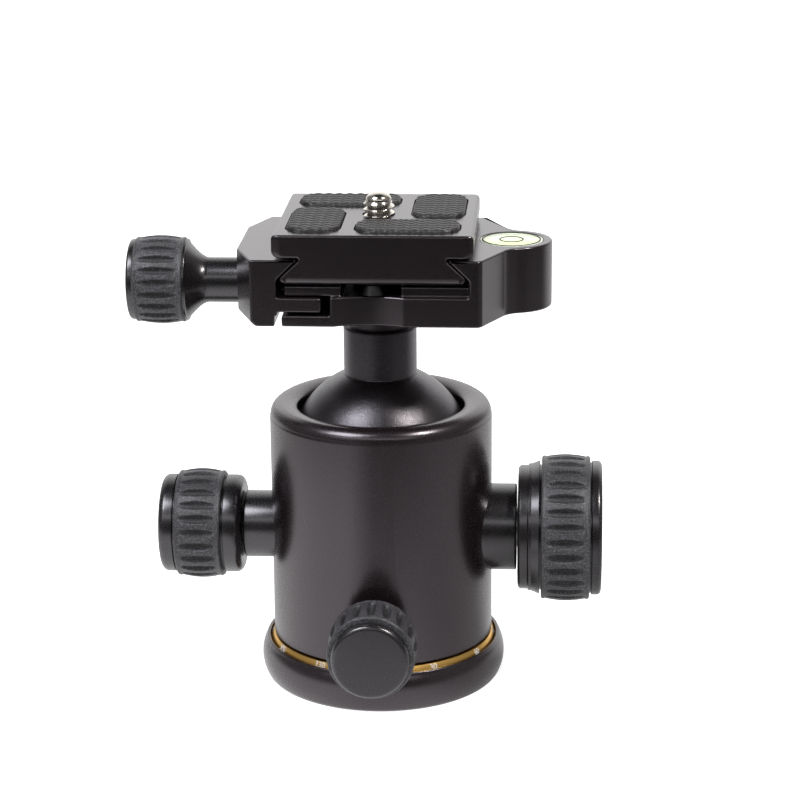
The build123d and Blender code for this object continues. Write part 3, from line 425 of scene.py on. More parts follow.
def grain(tree: Tree, cell_mm: float = 0.2, detail: float = 2.0) -> tuple:
    """The shared grain with its own values: its height and its cloud."""
    node = add(tree, "Group", {"Cell mm": cell_mm, "Detail": detail}, node_tree=GROUPS["grain"])
    return node.outputs["Height"], node.outputs["Cloud"]


# ------------------------------------------------------------------ finishes
@dataclass(frozen=True)
class Finish:
    """Material that each kind of finish feeds in its own way."""

    name: str

    def build(self) -> bpy.types.Material:
        """Build the material."""
        material = bpy.data.materials.new(self.name)
        material.use_nodes = True
        tree = material.node_tree
        shader = tree.nodes["Principled BSDF"]
        for socket, value in self.sockets(tree).items():
            join(tree, value, shader.inputs[socket])
        return material

    def sockets(self, tree: Tree) -> dict[str, Feed]:
        """What feeds each input of the shader."""
        raise NotImplementedError


@dataclass(frozen=True)
class Anodised(Finish):
    """Black anodised aluminium: near-black film, satin highlights, fine blast grain."""

    colour: Vec3 = (0.0066, 0.0042, 0.0049)
    tint: Vec3 = (1.0, 0.9, 0.97)
    roughness: float = 0.26
    roughness_spread: float = 0.05
    ior: float = 1.8
    grain_mm: float = 0.16
    bump: float = 0.05
    bump_mm: float = 0.02

    def sockets(self, tree: Tree) -> dict[str, Feed]:
        """Cloudy film, uneven roughness and shallow grain."""
        height, cloud = grain(tree, self.grain_mm)
        low, high = self.roughness - self.roughness_spread, self.roughness + self.roughness_spread
        return {
            "IOR": self.ior,
            "Specular Tint": rgba(self.tint),
            "Base Color": mix(tree, cloud, rgba(self.colour, 0.8), rgba(self.colour, 1.35)),
            "Roughness": spread(tree, height, low, high),
            "Normal": relief(tree, height, self.bump, self.bump_mm),
        }


@dataclass(frozen=True)
class Rubber(Finish):
    """Moulded black rubber: speckled matt film over a fine cast skin, with painted shade in its grooves."""

    colour: Vec3 = (0.026, 0.0245, 0.028)
    speck: Vec3 = (0.12, 0.116, 0.128)
    roughness: float = 0.4
    groove_roughness: float = 0.62
    painted_groove_shade: float = 0.45
    grain_mm: float = 0.24
    bump: float = 0.8
    bump_mm: float = 0.09

    def sockets(self, tree: Tree) -> dict[str, Feed]:
        """Specks where the grain is high, and painted shade where the stored cavity is deep."""
        height, _ = grain(tree, self.grain_mm, 4.0)
        ramp = add(tree, "ValToRGB", {"Fac": height})
        for stop, position, colour in zip(ramp.color_ramp.elements, (0.48, 0.68), (self.colour, self.speck)):
            stop.position, stop.color = position, rgba(colour)
        cavity = add(tree, "Attribute", {}, attribute_name="cavity").outputs["Fac"]
        shade = rgba((1.0, 1.0, 1.0), self.painted_groove_shade)
        return {
            "IOR": 1.5,
            # painted shade: colour multiplied down towards the groove shade factor where the cavity is deep
            "Base Color": mix(tree, cavity, ramp.outputs["Color"], shade, blend="MULTIPLY"),
            "Roughness": spread(tree, cavity, self.roughness, self.groove_roughness),
            "Normal": relief(tree, height, self.bump, self.bump_mm),
        }


@dataclass(frozen=True)
class Metal(Finish):
    """Bare or plated metal with turning marks too fine to see singly."""

    colour: Vec3
    roughness: float = 0.3
    grain_mm: float = 0.3
    bump: float = 0.08
    bump_mm: float = 0.02

    def sockets(self, tree: Tree) -> dict[str, Feed]:
        """Plain colour, uneven roughness and shallow grain."""
        height, _ = grain(tree, self.grain_mm)
        return {
            "Metallic": 1.0,
            "Base Color": rgba(self.colour),
            "Roughness": spread(tree, height, self.roughness * 0.8, self.roughness * 1.3),
            "Normal": relief(tree, height, self.bump, self.bump_mm),
        }


@dataclass(frozen=True)
class Plastic(Finish):
    """Plain moulded plastic, print or tinted liquid with a slightly uneven colour."""

    colour: Vec3
    roughness: float = 0.35

    def sockets(self, tree: Tree) -> dict[str, Feed]:
        """Cloudy colour."""
        _, cloud = grain(tree)
        colour = mix(tree, cloud, rgba(self.colour, 0.94), rgba(self.colour))
        return {"Roughness": self.roughness, "Base Color": colour}


@dataclass(frozen=True)
class Fluid(Finish):
    """Tinted fluid of the level: yellow-green, with a painted highlight that whitens it towards the back left."""

    pale: Vec3 = (0.88, 0.93, 0.78)
    deep: Vec3 = (0.74, 0.92, 0.32)
    centre: Vec3 = (0.0257, 0.0, 0.0895)
    direction: Vec3 = (0.35, -1.0, 0.0)
    reach: float = 0.006
    roughness: float = 0.12

    def sockets(self, tree: Tree) -> dict[str, Feed]:
        """Painted highlight as a ramp along a line through the level's centre, from the whitish tint at the back
        left to the fluid's own colour.
        """
        place = add(tree, "TexCoord", {}).outputs["Object"]
        shift = add(tree, "Mapping", {"Vector": place, "Location": [-c for c in self.centre]}).outputs["Vector"]
        along = add(tree, "VectorMath", {0: shift, 1: self.direction}, operation="DOT_PRODUCT").outputs["Value"]
        ramp = add(tree, "MapRange", {"Value": along, "From Min": -self.reach, "From Max": self.reach})
        # painted highlight: whitish tint at the back left fading to the fluid's own yellow-green at the front right
        colour = mix(tree, ramp.outputs["Result"], rgba(self.pale), rgba(self.deep))
        return {"Roughness": self.roughness, "Base Color": colour}


GROUPS: dict[str, Tree] = {}
FINISHES: dict[str, bpy.types.Material] = {}


def build_finishes() -> None:
    """Build the shared node groups and every finish."""
    GROUPS["grain"] = grain_group()
    finishes = {
        "satin": Anodised("satin_black_anodise"),
        "milled": Anodised("milled_black_anodise", (0.0055, 0.004, 0.0045), roughness=0.23),
        "gloss": Anodised("gloss_black_anodise", (0.006, 0.0052, 0.0057), (1.0, 0.96, 1.0), grain_mm=0.2),
        "ball": Anodised("ball_black", (0.0052, 0.004, 0.0045), (1.0, 0.92, 1.0), roughness=0.29, grain_mm=0.26,
                         bump=1.0, bump_mm=0.05),
        "rubber": Rubber("grip_rubber"),
        "pad": Rubber("pad_rubber", (0.014, 0.0125, 0.0125), (0.03, 0.028, 0.028), grain_mm=0.3, bump=0.4),
        "steel": Metal("steel", (0.5, 0.5, 0.5)),
        "bright": Metal("bright_steel", (0.66, 0.62, 0.56), roughness=0.16),
        "black_steel": Metal("black_steel", (0.03, 0.03, 0.03)),
        "brass": Metal("brass", (0.72, 0.52, 0.22)),
        "gold": Metal("gold_anodise", (1.0, 0.6, 0.17)),
        "pom": Plastic("white_pom", (0.8, 0.8, 0.78)),
        "level_white": Plastic("level_white", (0.85, 0.88, 0.76)),
        "level_green": Plastic("level_green", (0.66, 0.86, 0.36), roughness=0.1),
        "level_fluid_and_highlight": Fluid("level_fluid_and_highlight"),
        # dark print of the level's inner ring, also used for the outer ring of painted gap shade
        "line": Plastic("level_print_and_gap_shade", (0.02, 0.03, 0.02), roughness=0.5),
        "number": Plastic("scale_white", (0.85, 0.84, 0.8), roughness=0.5),
    }
    for key, finish in finishes.items():
        FINISHES[key] = finish.build()


BY_SLOT = {
    "satin_black_anodise": "satin", "gloss_black_anodise": "gloss", "ball_black": "ball", "gold_anodise": "gold",
    "grip_rubber": "rubber", "pad_rubber": "pad", "bright_steel": "bright", "steel": "steel",
    "black_steel": "black_steel", "brass": "brass", "white_pom": "pom", "level_green": "level_green",
    "level_clear": "level_green", "level_white": "level_white",
}


def dress(piece: Piece, slot: str, body: str, *nodes: str, finish: str = "") -> None:
    """Give a new piece the finish of its record slot or the given one, its body, and hide the CAD nodes it stands
    for.

    Args:
        piece: The new piece.
        slot: Material slot of the record.
        body: CAD body that carries it.
        nodes: CAD nodes that it replaces.
        finish: Key in FINISHES, where it isn't the slot's own.
    """
    piece.data.materials.clear()
    piece.data.materials.append(FINISHES[finish or BY_SLOT[slot]])
    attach(piece, body)
    if nodes:
        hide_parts(*nodes)
    LOG.info("%s: %d vertices on %s", piece.name, len(piece.data.vertices), body)


# ------------------------------------------------------------------ base and housing
@dataclass
class PanningBase:
    """Barrel-rimmed foot and the orange-gold scale ring with its numbers."""

    belly_r: float = 24.5
    edge_r: float = 23.6
    deck_z: float = 8.0
    lip_inner_r: float = 22.85
    recess_z: float = 6.4
    spindle_r: float = 11.0
    spindle_z: float = 8.0
    thread_r: float = 3.97
    thread_depth: float = 14.0
    scale_inner_r: float = 18.05
    scale_foot: tuple[float, float] = (22.7, 7.5)
    scale_top: tuple[float, float] = (22.0, 8.7)
    number_step: int = 30
    number_size: float = 1.6675
    number_foot: float = 0.12
    number_lift: float = 0.012

    def rim(self) -> Piece:
        """Barrel rim: an arc through foot, belly and shoulder, with broken edges."""
        bulge = self.belly_r - self.edge_r
        half = self.deck_z / 2 - 0.5
        radius = (bulge**2 + half**2) / (2 * bulge)
        turn = np.degrees(np.arcsin(half / radius))
        belly = arc((self.belly_r - radius, self.deck_z / 2), radius, -turn, turn, 24)
        top = rounded(
            [tuple(belly[-1]), (self.edge_r - 0.12, self.deck_z), (self.lip_inner_r, self.deck_z - 0.1),
             (self.lip_inner_r, self.recess_z), (self.spindle_r, self.recess_z),
             (self.spindle_r, self.spindle_z), (0, self.spindle_z)],
            [0, 0.35, 0.2, 0, 0, 0, 0], 4,
        )
        bottom = rounded([(0, 0), (self.edge_r - 0.5, 0), tuple(belly[0])], [0, 0.3, 0], 4)
        piece = lathe("base_rim", np.concatenate([bottom, belly[1:-1], top]), Seat(), 192)
        r, depth = self.thread_r, self.thread_depth
        cut(piece, [hole([(0, -1), (r, -1), (r, depth), (0, depth)])])
        sharpen(piece)
        return piece

    def band_point(self, angle: np.ndarray, height: np.ndarray, lift: float) -> np.ndarray:
        """Points on the sloping band: foot + height * slope, turned by angle, lifted off the band.

        Args:
            angle: Angles in radians, 0 at the front and positive towards the right.
            height: Distance up the slope in millimetres.
            lift: Distance off the band in millimetres.

        Returns:
            Array of points in metres.
        """
        (foot_r, foot_z), (top_r, top_z) = self.scale_foot, self.scale_top
        length = np.hypot(top_r - foot_r, top_z - foot_z)
        along, up = (top_r - foot_r) / length, (top_z - foot_z) / length
        r = foot_r + along * height + up * lift
        z = foot_z + up * height - along * lift
        return np.stack([r * np.sin(angle), -r * np.cos(angle), z], 1) * MM

    def numbers(self) -> Piece:
        """Degree numbers, each glyph wrapped on the band."""
        vertices: list[np.ndarray] = []
        faces: list[list[int]] = []
        count = 0
        for degrees in range(0, 360, self.number_step):
            text = bpy.data.curves.new("number", "FONT")
            text.body, text.size, text.align_x = str(degrees), self.number_size, "CENTER"
            text.resolution_u = 3
            holder = put("number", text)
            bpy.context.view_layer.update()
            mesh = bpy.data.meshes.new_from_object(holder)
            flat = np.zeros(len(mesh.vertices) * 3)
            mesh.vertices.foreach_get("co", flat)
            flat = flat.reshape(-1, 3)
            angle = radians(degrees) + flat[:, 0] / self.scale_foot[0]
            vertices.append(self.band_point(angle, flat[:, 1] + self.number_foot, self.number_lift))
            faces += [[v + count for v in polygon.vertices] for polygon in mesh.polygons]
            count += len(flat)
            bpy.data.objects.remove(holder)
            bpy.data.curves.remove(text)
        return link("scale_numbers", np.concatenate(vertices), faces, smooth=False)

    def build(self) -> None:
        """Build and dress the visible base."""
        dress(self.rim(), "satin_black_anodise", "base", "pan_base")
        ring = np.array([(self.scale_inner_r, self.recess_z), (self.scale_foot[0], self.recess_z),
                         self.scale_foot, self.scale_top, (self.scale_inner_r, self.scale_top[1]),
                         (self.scale_inner_r, self.recess_z)])
        dress(lathe("scale_ring", ring, Seat(), 192, edge=35.0), "gold_anodise", "base", "pan_scale_ring")
        dress(self.numbers(), "gold_anodise", "base", finish="number")


@dataclass
class Housing:
    """Turned shell: plain wall, fine crease, rounded lip, knob holes and the drop notch."""

    radius: float = 22.0
    bottom: float = 9.0
    crease_z: float = 54.5
    crease_depth: float = 0.12
    lip_top: float = 56.85
    lip_fall: float = 1.2
    opening_r: float = 16.5
    bore_r: float = 18.8
    under_lip: float = 52.5
    mouth_z: float = 54.37
    mouth_set: float = 0.8
    foot_r: float = 20.25
    floor_z: float = 23.0
    ball_z: float = 46.0
    notch_half: float = 7.8
    notch_round: float = 2.0
    holes: tuple[tuple[Direction, float, float], ...] = (
        (Direction.RIGHT, 30.5, 6.0), (Direction.LEFT, 30.5, 4.6), (Direction.FRONT, 16.0, 3.9),
    )

    def shell(self) -> Piece:
        """Ring profile turned about the axis.

        The lip rises from the crease as a quarter circle and falls to the mouth as a quarter ellipse.
        """
        c, d = self.crease_z, self.crease_depth
        r = self.lip_top - c
        crown = self.radius - d - r
        foot = rounded([(self.foot_r, self.bottom), (self.radius, self.bottom), (self.radius, c - 3 * d),
                        (self.radius - d, c)], [0, 0.4, 0.6, 0], 6)
        turn = arc((crown, c), r, 0, 88, 30)
        fall = arc((0, 0), 1.0, 90, 176, 20) * [crown - self.opening_r, self.lip_fall]
        fall += [crown, self.lip_top - self.lip_fall]
        inside = [(self.opening_r, self.mouth_z), (self.opening_r + self.mouth_set, self.under_lip),
                  (self.bore_r, self.under_lip), (self.bore_r, self.floor_z), (self.foot_r, self.floor_z),
                  (self.foot_r, self.bottom)]
        return lathe("housing_shell", np.concatenate([foot[:-1], turn, fall, inside]), Seat(), 256)

    def notch(self) -> Piece:
        """U-shaped cutter: half circle below, straight sides, mouth rounded outwards."""
        half, r, top = self.notch_half, self.notch_round, self.lip_top
        low = arc((0, self.ball_z), half, 180, 360, 33)
        right = arc((half + r, top - r), r, 180, 90, 9)
        left = arc((-half - r, top - r), r, 90, 0, 9)
        wide, high = half + 2 * r, top + 3
        cap = np.array([(wide, top), (wide, high), (-wide, high), (-wide, top)])
        outline = np.concatenate([low, right, cap, left])
        return prism("notch", outline, 0.0, self.radius + 3, upright=False)

    def build(self) -> None:
        """Build and dress the housing."""
        piece = self.shell()
        tools = [self.notch()]
        for direction, height, radius in self.holes:
            start, end = 10, self.radius + 2
            tools.append(hole([(0, start), (radius, start), (radius, end), (0, end)], Seat(direction, z=height)))
        cut(piece, tools)
        sharpen(piece, 30)
        dress(piece, "satin_black_anodise", "head", "housing")


@dataclass
class BallStem:
    """Ball, stem and neck turned in one piece."""

    ball_z: float = 46.0
    ball_r: float = 18.0
    stem_r: float = 7.2
    stem_top: float = 72.2
    neck_r: float = 5.97
    neck_top: float = 76.57

    def build(self) -> None:
        """Ball profile as one arc, then a small fillet into the stem."""
        meet = np.degrees(np.arccos(self.stem_r / self.ball_r))
        ball = arc((0, self.ball_z), self.ball_r, -90, meet, 96)
        ball[0, 0] = 0
        stem = rounded(
            [tuple(ball[-3]), tuple(ball[-1]), (self.stem_r, self.stem_top), (self.neck_r, self.stem_top),
             (self.neck_r, self.neck_top), (0, self.neck_top)],
            [0, 0.4, 0.45, 0.15, 0, 0], 8,
        )
        piece = lathe("ball_and_stem", np.concatenate([ball[:-3], stem]), Seat(), 192, edge=50.0)
        dress(piece, "ball_black", "ball", "ball_stem")


# ------------------------------------------------------------------ knobs
@dataclass(frozen=True)
class Grip:
    """Grooved rubber sleeve: a barrel with lens-shaped grooves between two end beads."""

    inner_r: float
    crown_r: float
    end_r: float
    start: float
    end: float
    grooves: int
    depth: float
    bead: float = 0.12
    bead_round: float = 0.35
    ends: float = 1.6
    groove_ends: float = 1.1
    groove_width: tuple[float, float] = (0.08, 0.22)

    def barrel(self, s: np.ndarray) -> np.ndarray:
        """Radius end_r + bulge * (1 - s^2), where s runs from -1 to 1 between the beads."""
        return self.end_r + (self.crown_r - self.end_r) * (1 - s**2)

    def surface(self, r: np.ndarray, angle: np.ndarray, z: np.ndarray) -> np.ndarray:
        """Change of radius: -depth * cos(half phase)^p, fading as (1 - s^2)^0.5 towards the beads.

        Args:
            r: Radii.
            angle: Angles in radians.
            z: Distances along the axis.

        Returns:
            What is added to each radius.
        """
        middle, half = (self.start + self.end) / 2, (self.end - self.start) / 2
        s = np.clip((z - middle) / (half - self.groove_ends), -1, 1)
        fade = np.sqrt(1 - s**2)
        phase = (angle * self.grooves / (2 * pi)) % 1.0 - 0.5
        width = self.groove_width[0] + self.groove_width[1] * fade
        groove = np.clip(1 - (phase / width) ** 2, 0, 1) ** 0.45
        return np.where(r > self.inner_r + 0.2, -self.depth * fade * groove, 0.0)

    def build(self, name: str, seat: Seat) -> Piece:
        """Barrel with round beads at both ends."""
        s = np.linspace(-1, 1, 29)
        z = (self.start + self.end) / 2 + s * (self.end - self.start - self.ends) / 2
        centre_r, bead_r = self.end_r - self.bead_round, self.bead_round + self.bead
        low = arc((centre_r, self.start + 0.4), bead_r, -90, 40, 6)
        high = arc((centre_r, self.end - 0.4), bead_r, -40, 90, 6)
        foot, side, top = [(self.inner_r, self.start)], np.stack([self.barrel(s), z], 1), [(self.inner_r, self.end)]
        profile = np.concatenate([foot, low, side, high, top, foot])
        piece = lathe(name, profile, seat, self.grooves * 24, self.surface, edge=70.0)
        self.mark_cavities(piece, seat)
        return piece

    def mark_cavities(self, piece: Piece, seat: Seat) -> None:
        """Store (barrel radius - own radius) / depth, 0 to 1, as the point attribute "cavity", the mask of the
        rubber's painted groove shade.

        Args:
            piece: The sleeve.
            seat: The sleeve's axis.
        """
        points = np.empty(len(piece.data.vertices) * 3)
        piece.data.vertices.foreach_get("co", points)
        foot, tip = seat.place(np.array([(0.0, 0.0, 0.0), (0.0, 0.0, 1.0)]))
        axis = (tip - foot) / np.linalg.norm(tip - foot)
        away = (points.reshape(-1, 3) - foot) / np.linalg.norm(tip - foot)
        z = away @ axis
        r = np.linalg.norm(away - z[:, None] * axis, axis=1)
        s = (2 * z - self.start - self.end) / (self.end - self.start - self.ends)
        cavity = np.where(np.abs(s) < 1, np.clip((self.barrel(s) - r) / self.depth, 0, 1), 0.0)
        layer = piece.data.attributes.new("cavity", "FLOAT", "POINT")
        layer.data.foreach_set("value", cavity.astype(np.float32))


@dataclass(frozen=True)
class Knob:
    """One lock knob: bush on the housing, metal hub, rubber grip and end cap."""

    name: str
    body: str
    seat: Seat
    screw_r: float
    bush_r: float
    bush_end: float
    hub: tuple[tuple[float, float], ...]
    hub_rounds: tuple[float, ...]
    core_r: float
    grip: Grip
    cap_r: float
    cap_end: float
    cap_round: float

    def bush(self) -> Piece:
        """Tube whose foot follows the housing: w(t) = sqrt(R^2 - (r cos t)^2) at each angle."""
        segments, wall = 128, Housing.radius
        angles = np.linspace(0, 2 * pi, segments, endpoint=False)
        rows = rounded([(self.bush_r, 0.0), (self.bush_r, self.bush_end), (self.screw_r, self.bush_end)],
                       [0, 0.35, 0], 4)
        rows = np.concatenate([[(self.screw_r, 0.0)], rows, [(self.screw_r, 0.0)]])
        r, t = np.meshgrid(rows[:, 0], angles, indexing="ij")
        foot = np.sqrt(wall**2 - (r * np.cos(t)) ** 2)
        w = np.where(rows[:, 1][:, None] == 0.0, foot, rows[:, 1][:, None])
        points = np.stack([r * np.cos(t), r * np.sin(t), w], -1).reshape(-1, 3)
        piece = link(f"{self.name}_bush_tube", self.seat.place(points), grid_faces(len(rows), segments, True))
        tidy(piece)
        sharpen(piece, 30)
        return piece

    def build(self) -> None:
        """Build and dress the bush, the hub, the grip and the cap."""
        if f"{self.name}_bush" in frame["nodes"]:
            dress(self.bush(), "gloss_black_anodise", "head", f"{self.name}_bush")
        start, (_, last), low = self.hub[0][1], self.hub[-1], self.grip.end
        hub = rounded([(self.screw_r, start), *self.hub, (self.core_r, last), (self.core_r, low - 0.05)],
                      [0, *self.hub_rounds, 0, 0], 5)
        hub = np.concatenate([hub, [(self.screw_r, low - 0.05), (self.screw_r, start)]])
        plug_r, neck_r = self.core_r - 1.6, self.cap_r - 0.4
        cap = rounded(
            [(0, low - 2), (plug_r, low - 2), (plug_r, low), (neck_r, low), (neck_r, low + 0.35),
             (self.cap_r, low + 0.45), (self.cap_r, self.cap_end), (0, self.cap_end)],
            [0, 0, 0, 0, 0.05, 0.1, self.cap_round, 0], 12,
        )
        dress_knob(self.name, self.body, self.seat, hub, self.grip, cap, 160, 30.0, f"{self.name}_knob")


def dress_knob(name: str, body: str, seat: Seat, hub: np.ndarray, grip: Grip, cap: np.ndarray, segments: int,
               edge: float, node: str) -> None:
    """Turn and dress a knob's hub, grip and cap.

    Args:
        name: Start of the pieces' names.
        body: CAD body that carries them.
        seat: The knob's axis.
        hub: Profile of the hub.
        grip: The rubber sleeve.
        cap: Profile of the cap.
        segments: Segments of hub and cap.
        edge: Smallest turn in degrees that stays a sharp edge of hub and cap.
        node: Start of the CAD nodes' names.
    """
    gloss = "gloss_black_anodise"
    dress(lathe(f"{name}_hub_turned", hub, seat, segments, edge=edge), gloss, body, f"{node}_hub")
    dress(grip.build(f"{name}_grip_sleeve", seat), "grip_rubber", body, f"{node}_grip")
    dress(lathe(f"{name}_cap_turned", cap, seat, segments, edge=edge), gloss, body, f"{node}_cap")


KNOBS = (
    Knob("main", "main_knob", Seat(Direction.RIGHT, z=30.5), screw_r=4.05, bush_r=8.65, bush_end=27.0,
         hub=((11.9, 27.3), (12.4, 27.75), (12.4, 29.2), (12.75, 29.45), (12.75, 30.0), (13.3, 31.4), (13.3, 31.6)),
         hub_rounds=(0.12, 0.2, 0.08, 0.12, 0.2, 0.2, 0.1), core_r=12.5,
         grip=Grip(inner_r=12.5, crown_r=14.6, end_r=14.2, start=32.0, end=41.5, grooves=30, depth=1.0),
         cap_r=13.4, cap_end=43.9, cap_round=1.5),
    Knob("friction", "friction_knob", Seat(Direction.LEFT, z=30.5), screw_r=3.05, bush_r=6.7, bush_end=27.4,
         hub=((9.8, 27.7), (9.8, 31.2)), hub_rounds=(1.5, 0.2), core_r=9.2,
         grip=Grip(inner_r=9.2, crown_r=11.0, end_r=10.5, start=31.7, end=40.8, grooves=24, depth=0.95),
         cap_r=9.8, cap_end=44.1, cap_round=1.8),
    Knob("pan", "pan_knob", Seat(Direction.FRONT, z=16.0), screw_r=2.55, bush_r=5.6, bush_end=24.4,
         hub=((6.6, 24.7), (7.4, 25.1), (7.4, 25.3)), hub_rounds=(0.1, 0.1, 0.1), core_r=6.6,
         grip=Grip(inner_r=6.6, crown_r=8.65, end_r=8.3, start=25.6, end=34.6, grooves=18, depth=1.25),
         cap_r=7.45, cap_end=37.0, cap_round=1.3),
)


# ------------------------------------------------------------------ clamp and plate
@dataclass
class Clamp:
    """Fixed half, moving jaw, clamp knob and level."""

    screw_z: float = 81.0
    screw_r: float = 2.5
    jaw_left: float = 26.7
    neck_r: float = 4.4
    flare_start: float = 33.3
    flare: tuple[float, float] = (3.15, 4.1)
    rim_r: float = 8.0
    core_r: float = 7.0
    grip: Grip = Grip(inner_r=7.0, crown_r=8.65, end_r=8.2, start=37.9, end=47.6, grooves=22, depth=0.85)
    plug_r: float = 5.4
    cap_r: float = 7.9
    cap_end: float = 48.8
    lobe_x: float = 25.7
    top: float = 89.5
    window_r: float = 5.85
    # the inner ring is printed; the outer ring is a dark ring of painted shade for the gap between window and
    # housing
    lines: tuple[tuple[str, float, float], ...] = (("level_ring_line", 2.14, 2.36), ("level_rim_gap_shade", 5.45, 5.72))
    edge_width: float = 0.4

    def knob(self) -> None:
        """Slim neck that flares as a quarter of a cosine into the grip, then a low cap."""
        s = np.linspace(0, 1, 20)
        out, along = self.flare
        r, z = self.neck_r + out * (1 - np.cos(s * pi / 2)) ** 0.9, self.flare_start + along * s
        foot, rim, low = (self.screw_r, self.jaw_left), self.grip.start, self.grip.end
        hub = np.concatenate([
            [foot, (self.neck_r, self.jaw_left)], np.stack([r, z], 1),
            [(self.rim_r - 0.05, rim - 0.45), (self.rim_r, rim - 0.35), (self.rim_r, rim - 0.1),
             (self.core_r, rim - 0.1), (self.core_r, low - 0.05), (self.screw_r, low - 0.05), foot],
        ])
        cap = rounded([(0, low - 2), (self.plug_r, low - 2), (self.plug_r, low), (self.cap_r, low),
                       (self.cap_r, self.cap_end), (0, self.cap_end)], [0, 0, 0, 0, 1.0, 0], 8)
        seat = Seat(Direction.LEFT, z=self.screw_z)
        dress_knob("clamp", "clamp_knob", seat, hub, self.grip, cap, 128, 40.0, "clamp_knob")

    def level(self) -> None:
        """Window, printed ring line and an outer dark ring of painted shade where the window meets the housing."""
        seat, r, foot = Seat(x=self.lobe_x), self.window_r, self.top - 1.2
        window = rounded([(0, foot), (r, foot), (r, self.top - 0.14), (0, self.top - 0.04)], [0, 0, 0.25, 0], 4)
        piece = lathe("level_window", window, seat, 96, edge=40.0)
        dress(piece, "level_clear", "clamp", "level_lens", finish="level_fluid_and_highlight")
        low, high = self.top - 0.1, self.top + 0.02
        for name, inner, outer in self.lines:
            ring = np.array([(inner, low), (outer, low), (outer, high), (inner, high), (inner, low)])
            dress(lathe(name, ring, seat, 96), "level_clear", "clamp", finish="line")

    def build(self) -> None:
        """Build and dress the clamp."""
        halves = (("clamp_base", "clamp_fixed_half", "clamp"), ("moving_jaw", "clamp_moving_jaw", "jaw"))
        for node, name, body in halves:
            piece = bevelled_copy(node, name, self.edge_width, 3)
            dress(piece, "satin_black_anodise", body, node, finish="milled")
        self.knob()
        self.level()


